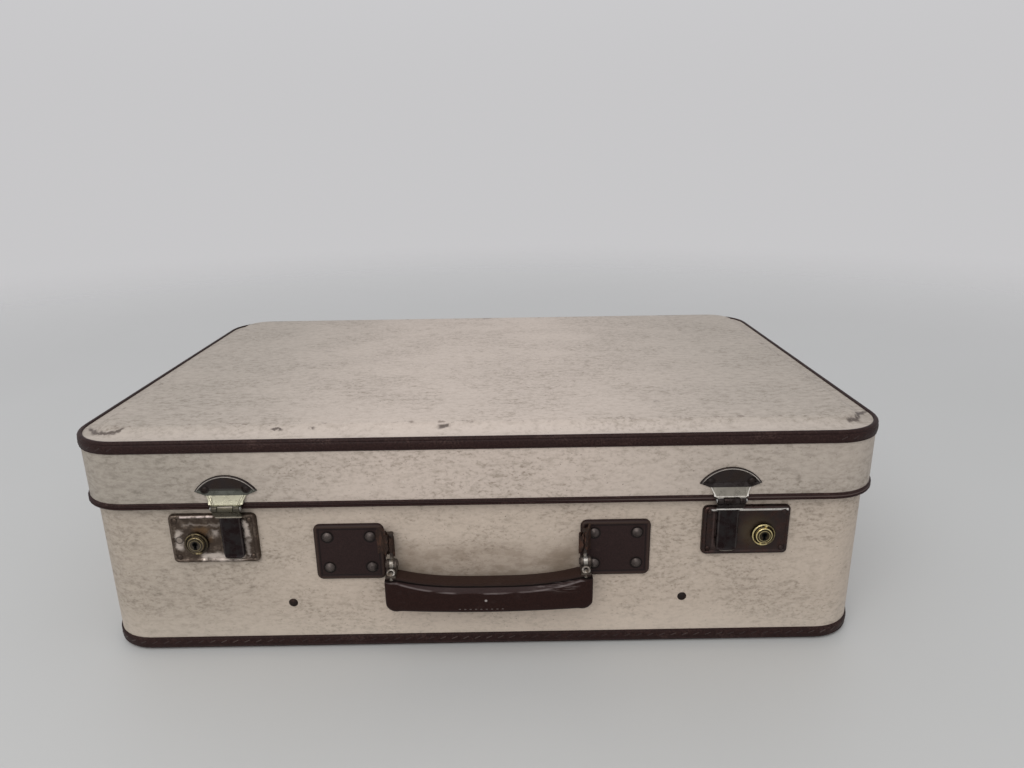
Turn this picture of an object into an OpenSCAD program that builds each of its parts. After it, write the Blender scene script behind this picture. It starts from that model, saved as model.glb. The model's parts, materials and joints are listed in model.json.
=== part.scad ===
// Vintage suitcase of covered fibreboard with a telescoping lid, two hasp locks and a hanging handle.
// Millimetres. The front faces -Y, +Z is up, and the origin lies under the middle of the base panel.

/* [Case] */
// Outer width of the lid's wall band
lid_w = 600; // [560:1:700]
// Outer depth of the lid's wall band
lid_d = 396; // [340:1:460]
// Height from the table to the top of the lid's binding
case_h = 177; // [160:1:220]
// Height of the lid from its lower edge to the top of its binding
lid_h = 53.4; // [48:0.2:70]
// Outer corner radius of the lid, seen from above
corner_r = 40; // [34:1:60]
// Thickness of the fibreboard
board_t = 2.4; // [2:0.1:3]
// How far the base's rim stands up inside the lid
lap_h = 12; // [8:0.5:16]
// Room between the base's rim and the lid's wall
lap_gap = 2.2; // [1.8:0.1:3]
// Thickness of the inner band that seats the lid on the rim
band_t = 4; // [3.6:0.1:5]
// Thickness of the paper lining
lining_t = 0.6; // [0.4:0.1:1]

/* [Pressed panels] */
// Flat margin round the pressed field of the lid panel
lid_margin = 8; // [7.5:0.5:20]
// Width of the slope from the lid's margin to its field
lid_slope_w = 12; // [8:0.5:16]
// Width of the slope from the base's margin to its field
slope_w = 10; // [6:0.5:12]
// Height of the lid's pressed field above its margin
field_h = 6; // [1:0.1:7]
// Extra rise of the lid panel towards its middle
crown_h = 2.5; // [0:0.1:8]
// Half depth of the flat middle of the crown
crown_flat = 30; // [20:1:60]
// Flat margin round the pressed field of the base panel
base_margin = 12; // [10:0.5:16]
// Height of the base's margin above the table
foot_h = 2.5; // [2:0.1:4]

/* [Bindings] */
// Thickness of the brown binding
bind_t = 1.4; // [1:0.1:1.8]
// Height of the binding on the lid's top edge
top_bind_h = 9.5; // [7:0.1:13]
// Height of the binding on the base's bottom edge
base_bind_h = 10; // [7:0.1:13]
// Width of the flap that the lid's binding lays on the panel
top_flap_w = 2.6; // [2:0.1:6]
// Width of the flap that the base's binding lays under the panel
base_flap_w = 6.5; // [4:0.1:9]
// Outer rounding of the corner bindings
bind_r = 3; // [2:0.1:3.2]
// Height of the folded binding on the lid's lower edge
edge_bind_h = 4.8; // [4:0.1:8]
// Thickness of the edge binding under and behind the board
fold_t = 0.8; // [0.6:0.1:1]
// Rounding of the edge binding
edge_r = 1.1; // [0.6:0.1:1.3]

/* [Hinges] */
// Distance of each hinge in from the lid's end
hinge_in = 110; // [90:1:140]
// Width of a hinge
hinge_w = 44; // [36:1:54]
// Height of each flat leaf
leaf_h = 22; // [18:1:28]
// Thickness of the leaves
leaf_t = 1.2; // [1:0.1:1.6]
// Outer radius of the hinge knuckles
knuckle_r = 2.8; // [2.6:0.1:3.4]
// Radius of the hinge pins
hinge_pin_r = 1.4; // [1.2:0.1:1.6]
// Distance of a hinge rivet from the middle of its leaf
hinge_rivet_dx = 14; // [10:0.5:16]

/* [Locks] */
// Distance of each lock's centre in from the lid's end
lock_in = 102; // [90:1:115]
// Width of the lock plate
lock_w = 65; // [60:0.5:70]
// Height of the lock plate
lock_h = 40; // [38:0.5:44]
// Gap from the lid's lower edge down to the plate
lock_drop = 5.6; // [4:0.1:7]
// Corner radius of the lock plate
lock_r = 4; // [3.4:0.1:5]
// How far the plate's bead stands off the wall
lock_rise = 3.5; // [3.4:0.1:3.6]
// Depth of the plate's field behind its bead
lock_recess = 0.6; // [0.4:0.1:0.7]
// Width of the plate's bead
bead_w = 2.6; // [2.4:0.1:3]
// Sheet thickness of the lock and catch plates
sheet_t = 0.9; // [0.8:0.05:1]
// Distance of the key button from the plate's centre, outward
key_dx = 13; // [12:0.1:14]
// Drop of the key button below the plate's centre
key_drop = 3.2; // [2:0.1:4]
// Radius of the key button
button_r = 9; // [8.7:0.1:9.5]
// Radius of the button's raised collar
collar_r = 6.2; // [5.6:0.1:7]
// Thickness of the button
button_t = 2; // [1.6:0.1:2.4]
// Height of the collar above the button
collar_h = 1.4; // [0.8:0.1:2]
// Radius of the key plug
plug_r = 4.3; // [3.8:0.1:4.6]
// Radius of the neck between button and bolt
neck_r = 3.4; // [3:0.1:3.5]
// Travel of the key button
bolt_travel = 5; // [4:0.1:5]
// Radius of the round part of the keyhole
keyhole_r = 1.2; // [0.8:0.1:1.4]

/* [Hasps] */
// Distance of the hasp from the lock plate's centre, inward
hasp_dx = 14.5; // [13.5:0.1:15.5]
// Width of the hasp tongue
hasp_w = 16; // [15:0.1:18]
// Length of the hasp below its pin
hasp_l = 43.5; // [40:0.5:46]
// Thickness of the hasp's edges
hasp_t = 1.2; // [1:0.1:1.5]
// Extra thickness in the middle of the rounded tongue
hasp_crown = 1.1; // [0.6:0.1:1.6]
// Radius of the hasp's lower corners
hasp_r = 5; // [3:0.1:7]
// Width of the nose behind the hasp
nose_w = 8; // [7:0.1:9]
// Height of the nose
nose_h = 6; // [5:0.1:7]
// Width of the fan-shaped catch plate
fan_w = 45.5; // [42:0.5:50]
// Height of the catch plate
fan_h = 16; // [15:0.5:20]
// Height of the catch plate's tips above its lower edge
fan_tip = 3.6; // [3:0.1:6]
// Width of the catch plate's lower edge
fan_base = 29; // [27:0.5:32]
// Width of the barrel that carries the hasp
barrel_w = 20.5; // [19:0.5:24]
// Outer radius of the barrel
barrel_r = 2.5; // [2.3:0.1:2.8]
// Radius of the hasp pin
hasp_pin_r = 1.2; // [1:0.1:1.3]
// Distance of a catch rivet from the plate's middle
catch_rivet_dx = 15; // [14:0.1:17]

/* [Handle pads] */
// Distance of each pad's centre from the middle
pad_x = 99.7; // [94:0.1:104]
// Sideways set of both pads from the case's middle
pad_shift = 1.5; // [0:0.1:3]
// Height of the pads' centre above the table
pad_z = 84.5; // [80:0.5:88]
// Width of a pad
pad_w = 52.5; // [48:0.5:56]
// Height of a pad
pad_h = 46; // [42:0.5:50]
// Thickness of the pad leather
pad_t = 2.2; // [1.8:0.1:2.6]
// Corner radius of a pad
pad_r = 5; // [4.5:0.1:7]
// Half the sideways spacing of the pad rivets
pad_rivet_dx = 16; // [14:0.5:18]
// Half the upright spacing of the pad rivets
pad_rivet_dz = 12.75; // [11:0.25:14]
// Height of the leather loop's lower end above the handle's axis
loop_low = 4.8; // [4.6:0.1:7]
// Length of the leather loop
loop_l = 19; // [14:0.5:22]
// Outer radius of the leather loop
loop_r = 4.2; // [3.8:0.1:4.4]

/* [Handle] */
// Distance of each eye from the handle's middle
eye_x = 72; // [70:0.5:76]
// Sideways slack by which the hanging handle has slid over
handle_shift = 6; // [0:0.5:6]
// Height of the handle's axis above the table
handle_z = 78; // [76:0.5:81]
// Distance of the handle's axis from the front wall
handle_out = 9; // [8.6:0.1:10]
// Length of the grip
grip_l = 155; // [152:0.5:160]
// Depth of the grip below the axis at its middle
grip_drop = 38.2; // [35:0.2:40]
// Rise of the grip's lower edge at its ends
grip_rise = 2.7; // [2:0.1:7]
// Sag of the grip's upper edge
grip_sag = 6.5; // [4:0.1:8]
// Thickness of the grip, front to back
grip_t = 14; // [13:0.2:14.4]
// Radius of the rod in the leather loop
rod_r = 1.4; // [1.2:0.1:1.45]
// Radius of the eye and of the cheeks beside it
eye_r = 4; // [3.6:0.1:4.2]
// Width of the eye between the cheeks
eye_w = 3; // [3:0.1:3.2]
// Radius of the handle pins
handle_pin_r = 1.6; // [1.4:0.1:1.8]
// Thickness of the strap along the grip's upper side
grip_strap_t = 2; // [1.6:0.1:2.4]
// Thickness of the steel strip in the grip
core_t = 1.2; // [1:0.1:1.5]

/* [Packing straps] */
// Distance of each packing strap in from the lid's end
strap_in = 150.2; // [140:0.2:160]
// Sideways set of both packing straps from the case's middle
strap_shift = 4.2; // [0:0.1:6]
// Height of the strap rivets above the table
strap_z = 40.4; // [34:0.2:44]
// Length of a strap above its rivet
strap_end = 12; // [8:0.5:16]
// Width of a packing strap
strap_w = 25; // [20:0.5:30]
// Thickness of a packing strap
strap_t = 1.4; // [1.2:0.1:1.8]
// Length of the turned-back tip of the front strap
tip_l = 62; // [50:1:90]
// Length of the sewn return of the rear strap
return_l = 26; // [20:1:40]
// Thickness of the strap buckle
buckle_t = 2.4; // [2:0.1:3]

/* [Rivets] */
// Shank radius of the rivets
rivet_r = 1.5; // [1.3:0.1:1.6]
// Head radius of the handle pad rivets
pad_head_r = 3.75; // [3.2:0.05:4]
// Height of the handle pad rivets' heads
pad_head_h = 2; // [1.6:0.1:2.1]
// Head radius of the strap rivets
strap_head_r = 3.5; // [3:0.1:4]
// Head radius of the small plate rivets
plate_head_r = 2; // [1.8:0.1:2.2]
// Height of the small rivets' heads
plate_head_h = 0.8; // [0.6:0.1:1]
// Thickness of the backing plates inside the wall
backing_t = 1; // [0.8:0.1:1.4]

/* [Fits] */
// Running clearance between a pin and its bore
run_gap = 0.06; // [0.02:0.01:0.09]
// Clearance round a rivet
rivet_gap = 0.1; // [0.05:0.05:0.2]
// Clearance between pieces that slide past each other
slide_gap = 0.3; // [0.2:0.05:0.3]
// Gap between the closed lid's band and the rim
seat_gap = 0.2; // [0.1:0.05:0.4]
// Clearance between the base panel's edge and the wall round it
panel_gap = 0.05; // [0.02:0.01:0.1]

/* [Hidden] */
$fn = 64;

fibre = [0.72, 0.66, 0.60];
paper = [0.78, 0.72, 0.60];
brown = [0.16, 0.11, 0.09];
nickel = [0.62, 0.60, 0.55];
brass = [0.62, 0.50, 0.28];
webbing = [0.45, 0.38, 0.28];

// The base is stepped in by one board and the lap's gap, so the lid slides down round it
step_in = board_t + lap_gap;
base_w = lid_w - 2 * step_in;
base_d = lid_d - 2 * step_in;
base_r = corner_r - step_in;
base_front = -base_d / 2;
lid_front = -lid_d / 2;
margin_z = foot_h + board_t;
edge_z = case_h - lid_h;
rim_z = edge_z + lap_h;
panel_z = case_h - bind_t - board_t;
band_in = board_t + band_t;
eps = 0.5;

// Lock field and the layer behind it where the bolt slides
lock_x = lid_w / 2 - lock_in;
lock_z = edge_z - lock_drop - lock_h / 2;
field_z = lock_rise - lock_recess;
bolt_t = 1.2;
bolt_z = (field_z - sheet_t - bolt_t) / 2;
bolt_half = 8;
bolt_half_h = 6;
finger_h = 5;
nose_gap = 0.6;
nose_z = lock_z - lock_h / 4;
lock_rivet_dx = lock_w / 2 - bead_w - 2.4;
lock_rivet_dz = lock_h / 2 - bead_w - 2.4;
notch_w = nose_w + 2;
spring_t = 0.6;
plug_low = 4;
plug_tail_r = 1.5;

// Hasp pin axis, in front of the lid's folded edge binding
hasp_x = lock_x - hasp_dx;
hasp_out = bind_t + barrel_r + 0.7;
hasp_axis_z = edge_z + barrel_r - 0.4;
hasp_axis_y = lid_front - hasp_out;
fan_z = edge_z + edge_bind_h + 5.9;
fan_r = (fan_w * fan_w / 4 + (fan_h - fan_tip) * (fan_h - fan_tip)) / (2 * (fan_h - fan_tip));
fan_rim = 1.7;
fan_rim_h = 0.7;
hasp_knuckle_w = 0.55 * barrel_w;
tongue_y = base_front - lock_rise - 0.4;
neck_z = hasp_axis_z - barrel_r - 0.8;
tongue_top = neck_z - 6.6;
tongue_low = hasp_axis_z - hasp_l;

// Hinge axis, behind the lid's folded edge binding and level with the lid's lower edge
hinge_x = lid_w / 2 - hinge_in;
axis_y = lid_d / 2 + bind_t + 0.5 + knuckle_r;
axis_z = edge_z;
knuckle_w = hinge_w / 3;
knuckle_gap = 0.25;
leaf_bend = 12;
base_leaf_low = axis_z - leaf_bend - leaf_h;
base_leaf_rivet_z = base_leaf_low + leaf_h / 2;
lid_leaf_bend = edge_bind_h + 0.8;
lid_leaf_low = axis_z + lid_leaf_bend + 3;
lid_leaf_rivet_z = rim_z + seat_gap + 7;
lid_leaf_top = lid_leaf_low + leaf_h;

// Handle axis in front of the wall, and the layers of the grip below it
handle_y = base_front - handle_out;
tab_w = 7.5;
cheek_t = (tab_w - eye_w) / 2 - slide_gap;
tab_low = -eye_r - 2;
tab_t = 1.4;
tab_l = 13.5;
tab_front = 10;
grip_mid_y = -3;
grip_flat = eye_x - tab_w / 2 - 0.6;
grip_strap_w = 11;
core_w = 9;
grip_steps = 24;
section_steps = 20;
loop_base_w = 4;
loop_slit = 1.3;
loop_y = handle_y + 1.8;

// Packing strap levels above the lining, and the buckle between the two halves
strap_x = lid_w / 2 - strap_in;

// Middles of the left (-1) and right (1) packing strap and handle pad
function strap_at(s) = s * strap_x + strap_shift;
function pad_at(s) = s * pad_x + pad_shift;

floor_z = board_t + lining_t;
shelf_z = margin_z + lining_t;
inner_y = base_d / 2 - board_t - lining_t;
buckle_w = 34;
buckle_d = 20;
buckle_bar = 3;
strap_top_z = strap_z + strap_end;
strap_gap = 0.2;

// Rivet positions as [sideways, up]
pad_rivets = [for (s = [-1, 1], i = [-1, 1], j = [-1, 1]) [pad_at(s) + i * pad_rivet_dx, pad_z + j * pad_rivet_dz]];
lock_rivets = [for (s = [-1, 1], i = [-1, 1], j = [-1, 1]) [s * lock_x + i * lock_rivet_dx, lock_z + j * lock_rivet_dz]];
strap_rivets = [for (s = [-1, 1]) [strap_at(s), strap_z]];
leaf_rivets = [for (s = [-1, 1], i = [-1, 1]) s * hinge_x + i * hinge_rivet_dx];
catch_rivets = [for (s = [-1, 1], i = [-1, 1]) s * hasp_x + i * catch_rivet_dx];
catch_rivet_z = fan_z + fan_tip + 1.6;
tail_r = 2.4;
tail_h = 0.7;

// A quarter disc in the first quadrant
module pie(r) {
    intersection() {
        circle(r);
        square(r);
    }
}

// A rectangle with round corners, centred
module round_rect(w, d, r) {
    square([w - 2 * r, d], center = true);
    for (s = [-1, 1])
        translate([s * (w - r) / 2, 0])
            square([r, d - 2 * r], center = true);
    for (i = [0:3])
        translate([(i == 0 || i == 3 ? 1 : -1) * (w / 2 - r), (i < 2 ? 1 : -1) * (d / 2 - r)])
            rotate(90 * i)
                pie(r);
}

// A section, drawn as [outward, up], carried round a rectangle with round corners
module sweep_round(w, d, r) {
    for (i = [0:3]) {
        run = i % 2 == 0 ? w : d;
        span = i % 2 == 0 ? d : w;
        rotate(90 * i) {
            translate([r - run / 2, span / 2, 0])
                rotate([90, 0, 90])
                    linear_extrude(run - 2 * r)
                        children();
            translate([run / 2 - r, span / 2 - r, 0])
                rotate_extrude(angle = 90)
                    translate([r, 0])
                        children();
        }
    }
}

// A section drawn as [y, z], carried along X
module run_x(x, length) {
    translate([x, 0, 0])
        rotate([90, 0, 90])
            linear_extrude(length)
                children();
}

// Local frames on the walls: local X sideways, local Y up, local Z outward
module on_front(x, z) {
    translate([x, base_front, z])
        rotate([90, 0, 0])
            children();
}

module on_lid_front(x, z) {
    translate([x, lid_front, z])
        rotate([90, 0, 0])
            children();
}

module on_back(x, z) {
    translate([x, -base_front, z])
        rotate([90, 0, 180])
            children();
}

module on_lid_back(x, z) {
    translate([x, -lid_front, z])
        rotate([90, 0, 180])
            children();
}

// A rivet along local Z, clinched below its low end and domed above its high end
module rivet(low, high, head_r, head_h) {
    dome_r = (head_r * head_r + head_h * head_h) / (2 * head_h);
    rotate_extrude() {
        translate([0, low])
            square([rivet_r, high - low]);
        translate([0, low - tail_h])
            square([tail_r, tail_h]);
        translate([0, high])
            intersection() {
                translate([0, head_h - dome_r])
                    circle(dome_r);
                square([head_r, head_h]);
            }
    }
}

module rivet_hole(depth, out) {
    translate([0, 0, -depth])
        cylinder(r = rivet_r + rivet_gap, h = depth + out);
}

module base_wall_holes(depth) {
    for (p = concat(pad_rivets, lock_rivets, strap_rivets))
        on_front(p.x, p.y)
            rivet_hole(depth, eps);
    for (p = strap_rivets)
        on_back(p.x, p.y)
            rivet_hole(depth, eps);
    for (x = leaf_rivets)
        on_back(x, base_leaf_rivet_z)
            rivet_hole(depth, eps);
}

module lid_wall_holes(depth) {
    for (x = catch_rivets)
        on_lid_front(x, catch_rivet_z)
            rivet_hole(depth, eps);
    for (x = leaf_rivets)
        on_lid_back(x, lid_leaf_rivet_z)
            rivet_hole(depth, eps);
}

// An upright band of a given thickness inside a round-cornered outline
module wall_band(w, d, r, t, low, high) {
    translate([0, 0, low])
        linear_extrude(high - low)
            difference() {
                round_rect(w, d, r);
                round_rect(w - 2 * t, d - 2 * t, r - t);
            }
}

// Base: wall band, pressed panel, bottom binding and lining

module base_wall() {
    color(fibre)
        difference() {
            wall_band(base_w, base_d, base_r, board_t, foot_h, rim_z);
            base_wall_holes(board_t + eps);
        }
}

module base_middle(low, t) {
    translate([base_r - base_w / 2, base_r - base_d / 2, low])
        cube([base_w - 2 * base_r, base_d - 2 * base_r, t]);
}

module base_panel() {
    edge_in = board_t + panel_gap;
    foot_in = base_margin + slope_w;
    color(fibre) {
        sweep_round(base_w, base_d, base_r)
            polygon([
                [-edge_in, foot_h], [-edge_in, margin_z], [-base_margin, margin_z], [-foot_in, board_t],
                [-base_r, board_t], [-base_r, 0], [-foot_in, 0], [-base_margin, foot_h]
            ]);
        base_middle(0, board_t);
    }
}

// Section of a corner binding: the board's corner is bind_t inside the rounded outer corner
module corner_fold(h, flap_w) {
    difference() {
        union() {
            translate([-flap_w, -h])
                square([flap_w + bind_t - bind_r, h]);
            translate([bind_t - bind_r, -h])
                square([bind_r, h - bind_r]);
            translate([bind_t - bind_r, -bind_r])
                pie(bind_r);
        }
        translate([-flap_w - eps, -h - eps])
            square([flap_w + eps, h + eps - bind_t]);
    }
}

module base_binding() {
    color(brown)
        sweep_round(base_w, base_d, base_r)
            translate([0, foot_h - bind_t])
                mirror([0, 1])
                    corner_fold(base_bind_h, base_flap_w);
}

module base_lining() {
    foot_in = base_margin + slope_w;
    color(paper)
        difference() {
            union() {
                sweep_round(base_w, base_d, base_r)
                    polygon([
                        [-board_t, rim_z - 1], [-board_t, margin_z], [-base_margin, margin_z],
                        [-foot_in, board_t], [-base_r, board_t], [-base_r, floor_z],
                        [-foot_in, floor_z], [-base_margin, shelf_z],
                        [-board_t - lining_t, shelf_z], [-board_t - lining_t, rim_z - 1]
                    ]);
                base_middle(board_t, lining_t);
            }
            base_wall_holes(board_t + lining_t + eps);
        }
}

// Lid: wall band, crowned panel, two bindings, inner band and linings

module lid_wall() {
    color(fibre)
        difference() {
            wall_band(lid_w, lid_d, corner_r, board_t, edge_z + fold_t, panel_z);
            lid_wall_holes(board_t + eps);
        }
}

function corner_steps() = 6;

// Points of one level round-cornered ring
function ring(w, d, r, z) = [
    for (i = [0:3], j = [0:corner_steps()])
        let (a = 90 * i + 90 * j / corner_steps())
            [(i == 0 || i == 3 ? 1 : -1) * (w / 2 - r) + r * cos(a), (i < 2 ? 1 : -1) * (d / 2 - r) + r * sin(a), z]
];

// Closed skin over a list of rings that all have the same number of points
module skin(rings) {
    n = len(rings[0]);
    last = len(rings) - 1;
    walls = [
        for (i = [0:last - 1], j = [0:n - 1])
            let (a = i * n + j, b = a + n, c = (i + 1) * n + (j + 1) % n, d = i * n + (j + 1) % n)
                each [[a, b, c], [a, c, d]]
    ];
    caps = [[for (j = [0:n - 1]) j], [for (j = [n - 1:-1:0]) last * n + j]];
    polyhedron([for (row = rings) each row], concat(walls, caps));
}

function ease(u) = u * u * (3 - 2 * u);

// Height of the pressed panel above its margin, at a given distance in from the edge
function press(inset, margin, reach) =
    inset <= margin ? 0
    : inset < margin + lid_slope_w ? field_h * ease((inset - margin) / lid_slope_w)
    : field_h + crown_h * (1 - pow(1 - (inset - margin - lid_slope_w) / (reach - margin - lid_slope_w), 2));

// Distances from the edge at which the pressed panel is cut into rings
function press_insets(margin, reach) = concat(
    [0, margin],
    [for (k = [1:6]) margin + lid_slope_w * k / 6],
    [for (k = [1:5]) margin + lid_slope_w + (reach - margin - lid_slope_w) * k / 5]
);

module pressed_panel(w, d, r, low, t, margin) {
    reach = d / 2 - crown_flat;
    insets = press_insets(margin, reach);
    count = len(insets);
    least_r = 10;
    under = [
        for (k = [count - 1:-1:0])
            let (s = insets[k])
                ring(w - 2 * s, d - 2 * s, max(r - s, least_r), low + press(s, margin, reach))
    ];
    over = [
        for (s = insets)
            ring(w - 2 * s, d - 2 * s, max(r - s, least_r), low + t + press(s, margin, reach))
    ];
    skin(concat(under, over));
}

module lid_panel() {
    color(fibre)
        pressed_panel(lid_w, lid_d, corner_r, panel_z, board_t, lid_margin);
}

module lid_top_binding() {
    color(brown)
        sweep_round(lid_w, lid_d, corner_r)
            translate([0, case_h])
                corner_fold(top_bind_h, top_flap_w);
}

// Section of the binding folded round the lid's lower edge
module edge_fold() {
    back = board_t + fold_t;
    difference() {
        union() {
            translate([-back, 0])
                square([back + bind_t - edge_r, edge_bind_h]);
            translate([bind_t - edge_r, edge_r])
                square([edge_r, edge_bind_h - 2 * edge_r]);
            translate([bind_t - edge_r, edge_bind_h - edge_r])
                pie(edge_r);
            translate([bind_t - edge_r, edge_r])
                rotate(-90)
                    pie(edge_r);
        }
        translate([-board_t, fold_t])
            square([board_t, edge_bind_h]);
    }
}

module lid_edge_binding() {
    color(brown)
        sweep_round(lid_w, lid_d, corner_r)
            translate([0, edge_z])
                edge_fold();
}

// Four straight strips that seat the lid on the rim and leave the round corners free
module lid_inner_band() {
    low = rim_z + seat_gap;
    color(fibre)
        difference() {
            for (i = [0:3]) {
                run = i % 2 == 0 ? lid_w : lid_d;
                span = i % 2 == 0 ? lid_d : lid_w;
                rotate(90 * i)
                    translate([corner_r - run / 2, span / 2 - band_in, low])
                        cube([run - 2 * corner_r, band_t, panel_z - low]);
            }
            lid_wall_holes(band_in + eps);
        }
}

module lid_wall_lining() {
    color(paper)
        difference() {
            wall_band(lid_w - 2 * band_in, lid_d - 2 * band_in, corner_r - band_in, lining_t,
                rim_z + seat_gap, panel_z - lining_t);
            lid_wall_holes(band_in + lining_t + eps);
        }
}

module lid_panel_lining() {
    color(paper)
        pressed_panel(lid_w - 2 * band_in, lid_d - 2 * band_in, corner_r - band_in,
            panel_z - lining_t, lining_t, lid_margin - band_in);
}

// Hinges at the back

module axis_disc(r) {
    translate([axis_y, axis_z])
        circle(r);
}

module hinge_bore(x) {
    run_x(x - hinge_w, 2 * hinge_w)
        axis_disc(hinge_pin_r + run_gap);
}

module base_leaf(x) {
    wall_y = base_d / 2;
    color(nickel)
        difference() {
            union() {
                run_x(x - hinge_w / 2, hinge_w)
                    polygon([
                        [wall_y, base_leaf_low], [wall_y + leaf_t, base_leaf_low],
                        [wall_y + leaf_t, axis_z - leaf_bend - 0.5], [axis_y - 0.2, axis_z - 1.9],
                        [axis_y - 1.3, axis_z - 1.1], [wall_y, axis_z - leaf_bend]
                    ]);
                run_x(x - knuckle_w / 2, knuckle_w)
                    axis_disc(knuckle_r);
            }
            for (s = [0, 1])
                mirror([s, 0, 0])
                    run_x((s == 0 ? x : -x) + knuckle_w / 2, hinge_w)
                        axis_disc(knuckle_r + slide_gap);
            hinge_bore(x);
            for (i = [-1, 1])
                on_back(x + i * hinge_rivet_dx, base_leaf_rivet_z)
                    rivet_hole(eps, leaf_t + 2 * eps);
        }
}

module lid_leaf(x) {
    wall_y = lid_d / 2;
    strip_y = axis_y - knuckle_r + 0.25;
    color(nickel)
        difference() {
            union() {
                run_x(x - hinge_w / 2, hinge_w)
                    polygon([
                        [wall_y, lid_leaf_top], [wall_y, lid_leaf_low], [strip_y, axis_z + lid_leaf_bend],
                        [strip_y, axis_z], [strip_y + leaf_t, axis_z],
                        [strip_y + leaf_t, axis_z + lid_leaf_bend + 0.4],
                        [wall_y + leaf_t, lid_leaf_low + 0.4], [wall_y + leaf_t, lid_leaf_top]
                    ]);
                for (s = [0, 1])
                    mirror([s, 0, 0])
                        run_x((s == 0 ? x : -x) + knuckle_w / 2 + knuckle_gap, knuckle_w - knuckle_gap)
                            axis_disc(knuckle_r);
            }
            run_x(x - knuckle_w / 2 - knuckle_gap, knuckle_w + 2 * knuckle_gap)
                axis_disc(knuckle_r + slide_gap);
            hinge_bore(x);
            for (i = [-1, 1])
                on_lid_back(x + i * hinge_rivet_dx, lid_leaf_rivet_z)
                    rivet_hole(eps, leaf_t + 2 * eps);
        }
}

module hinge_pin(x) {
    color(nickel)
        run_x(x - hinge_w / 2 - 0.5, hinge_w + 1)
            axis_disc(hinge_pin_r);
}

module left_hinge_base_leaf() {
    base_leaf(-hinge_x);
}

module right_hinge_base_leaf() {
    base_leaf(hinge_x);
}

module left_hinge_lid_leaf() {
    lid_leaf(-hinge_x);
}

module right_hinge_lid_leaf() {
    lid_leaf(hinge_x);
}

module left_hinge_pin() {
    hinge_pin(-hinge_x);
}

module right_hinge_pin() {
    hinge_pin(hinge_x);
}

module hinge_base_rivets() {
    color(nickel)
        for (x = leaf_rivets)
            on_back(x, base_leaf_rivet_z)
                rivet(-board_t - lining_t, leaf_t, plate_head_r + 0.6, plate_head_h + 0.4);
}

module hinge_lid_rivets() {
    color(nickel)
        for (x = leaf_rivets)
            on_lid_back(x, lid_leaf_rivet_z)
                rivet(-band_in - lining_t, leaf_t, plate_head_r + 0.6, plate_head_h + 0.4);
}

// Locks on the base's front. The left lock is drawn, with its key outward, and the right one mirrors it.

module lock_bead() {
    round_r = bead_w / 2 - 0.1;
    translate([-bead_w, 0])
        square([bead_w, lock_rise - round_r]);
    translate([round_r - bead_w, lock_rise - round_r])
        square([bead_w - 2 * round_r, round_r]);
    translate([-round_r, lock_rise - round_r])
        pie(round_r);
    translate([round_r - bead_w, lock_rise - round_r])
        rotate(90)
            pie(round_r);
}

module lock_plate() {
    slot_half = neck_r + slide_gap;
    color(nickel)
        difference() {
            union() {
                sweep_round(lock_w, lock_h, lock_r)
                    lock_bead();
                translate([0, 0, field_z - sheet_t])
                    linear_extrude(sheet_t)
                        round_rect(lock_w - 2 * bead_w + 1, lock_h - 2 * bead_w + 1, lock_r - bead_w + 0.5);
            }
            translate([-key_dx - bolt_travel - slot_half, -key_drop - slot_half, 0])
                cube([bolt_travel + 2 * slot_half, 2 * slot_half, lock_rise]);
            translate([hasp_dx - notch_w / 2, nose_z - lock_z - 2.5, -eps])
                cube([notch_w, lock_h, lock_rise + 2 * eps]);
            for (i = [-1, 1], j = [-1, 1])
                translate([i * lock_rivet_dx, j * lock_rivet_dz, 0])
                    rivet_hole(eps, lock_rise);
        }
}

module lock_bolt() {
    finger_y = nose_z + nose_h / 2 - lock_z + key_drop;
    tip_x = key_dx + hasp_dx - nose_w / 2 - nose_gap;
    button_z = field_z + slide_gap;
    color(brass)
        translate([-key_dx, -key_drop, 0])
            difference() {
                union() {
                    translate([0, 0, button_z])
                        cylinder(r = button_r, h = button_t);
                    translate([0, 0, button_z])
                        cylinder(r = collar_r, h = button_t + collar_h);
                    for (a = [50, 230])
                        rotate(a)
                            translate([(button_r + collar_r) / 2, 0, button_z])
                                cylinder(r = 1, h = button_t + 0.5);
                    translate([0, 0, bolt_z])
                        cylinder(r = neck_r, h = button_z + button_t - bolt_z);
                    translate([-bolt_half, -bolt_half_h, bolt_z])
                        cube([2 * bolt_half, 2 * bolt_half_h, bolt_t]);
                    translate([0, finger_y - finger_h / 2, bolt_z])
                        cube([tip_x, finger_h, bolt_t]);
                }
                translate([0, 0, plug_low - run_gap])
                    cylinder(r = plug_r + run_gap, h = 2 * lock_rise);
                cylinder(r = plug_tail_r + run_gap, h = 2 * lock_rise);
            }
}

module key_plug() {
    plug_top = field_z + slide_gap + button_t + collar_h + 0.4;
    slot_w = keyhole_r;
    color(brass)
        translate([-key_dx, -key_drop, 0])
            difference() {
                union() {
                    translate([0, 0, plug_low])
                        cylinder(r = plug_r, h = plug_top - plug_low);
                    translate([0, 0, bolt_z])
                        cylinder(r = plug_tail_r, h = plug_low - bolt_z + eps);
                }
                translate([0, keyhole_r * 0.75, plug_top - 2])
                    cylinder(r = keyhole_r, h = 3);
                translate([-slot_w / 2, -plug_r * 0.62, plug_top - 2])
                    cube([slot_w, plug_r * 0.62 + keyhole_r * 0.75, 3]);
            }
}

module bolt_spring() {
    foot_x = -lock_w / 2 + bead_w + 0.1;
    nose_x = -key_dx - bolt_half - 0.2;
    reach = 6;
    color(nickel)
        translate([0, -key_drop, bolt_z])
            linear_extrude(bolt_t)
                polygon([
                    [nose_x, 0], [foot_x + spring_t, reach], [foot_x, reach], [foot_x, reach - spring_t],
                    [nose_x - spring_t * 1.4, 0], [foot_x, spring_t - reach], [foot_x, -reach],
                    [foot_x + spring_t, -reach]
                ]);
}

module left_lock_plate() {
    on_front(-lock_x, lock_z)
        lock_plate();
}

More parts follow.
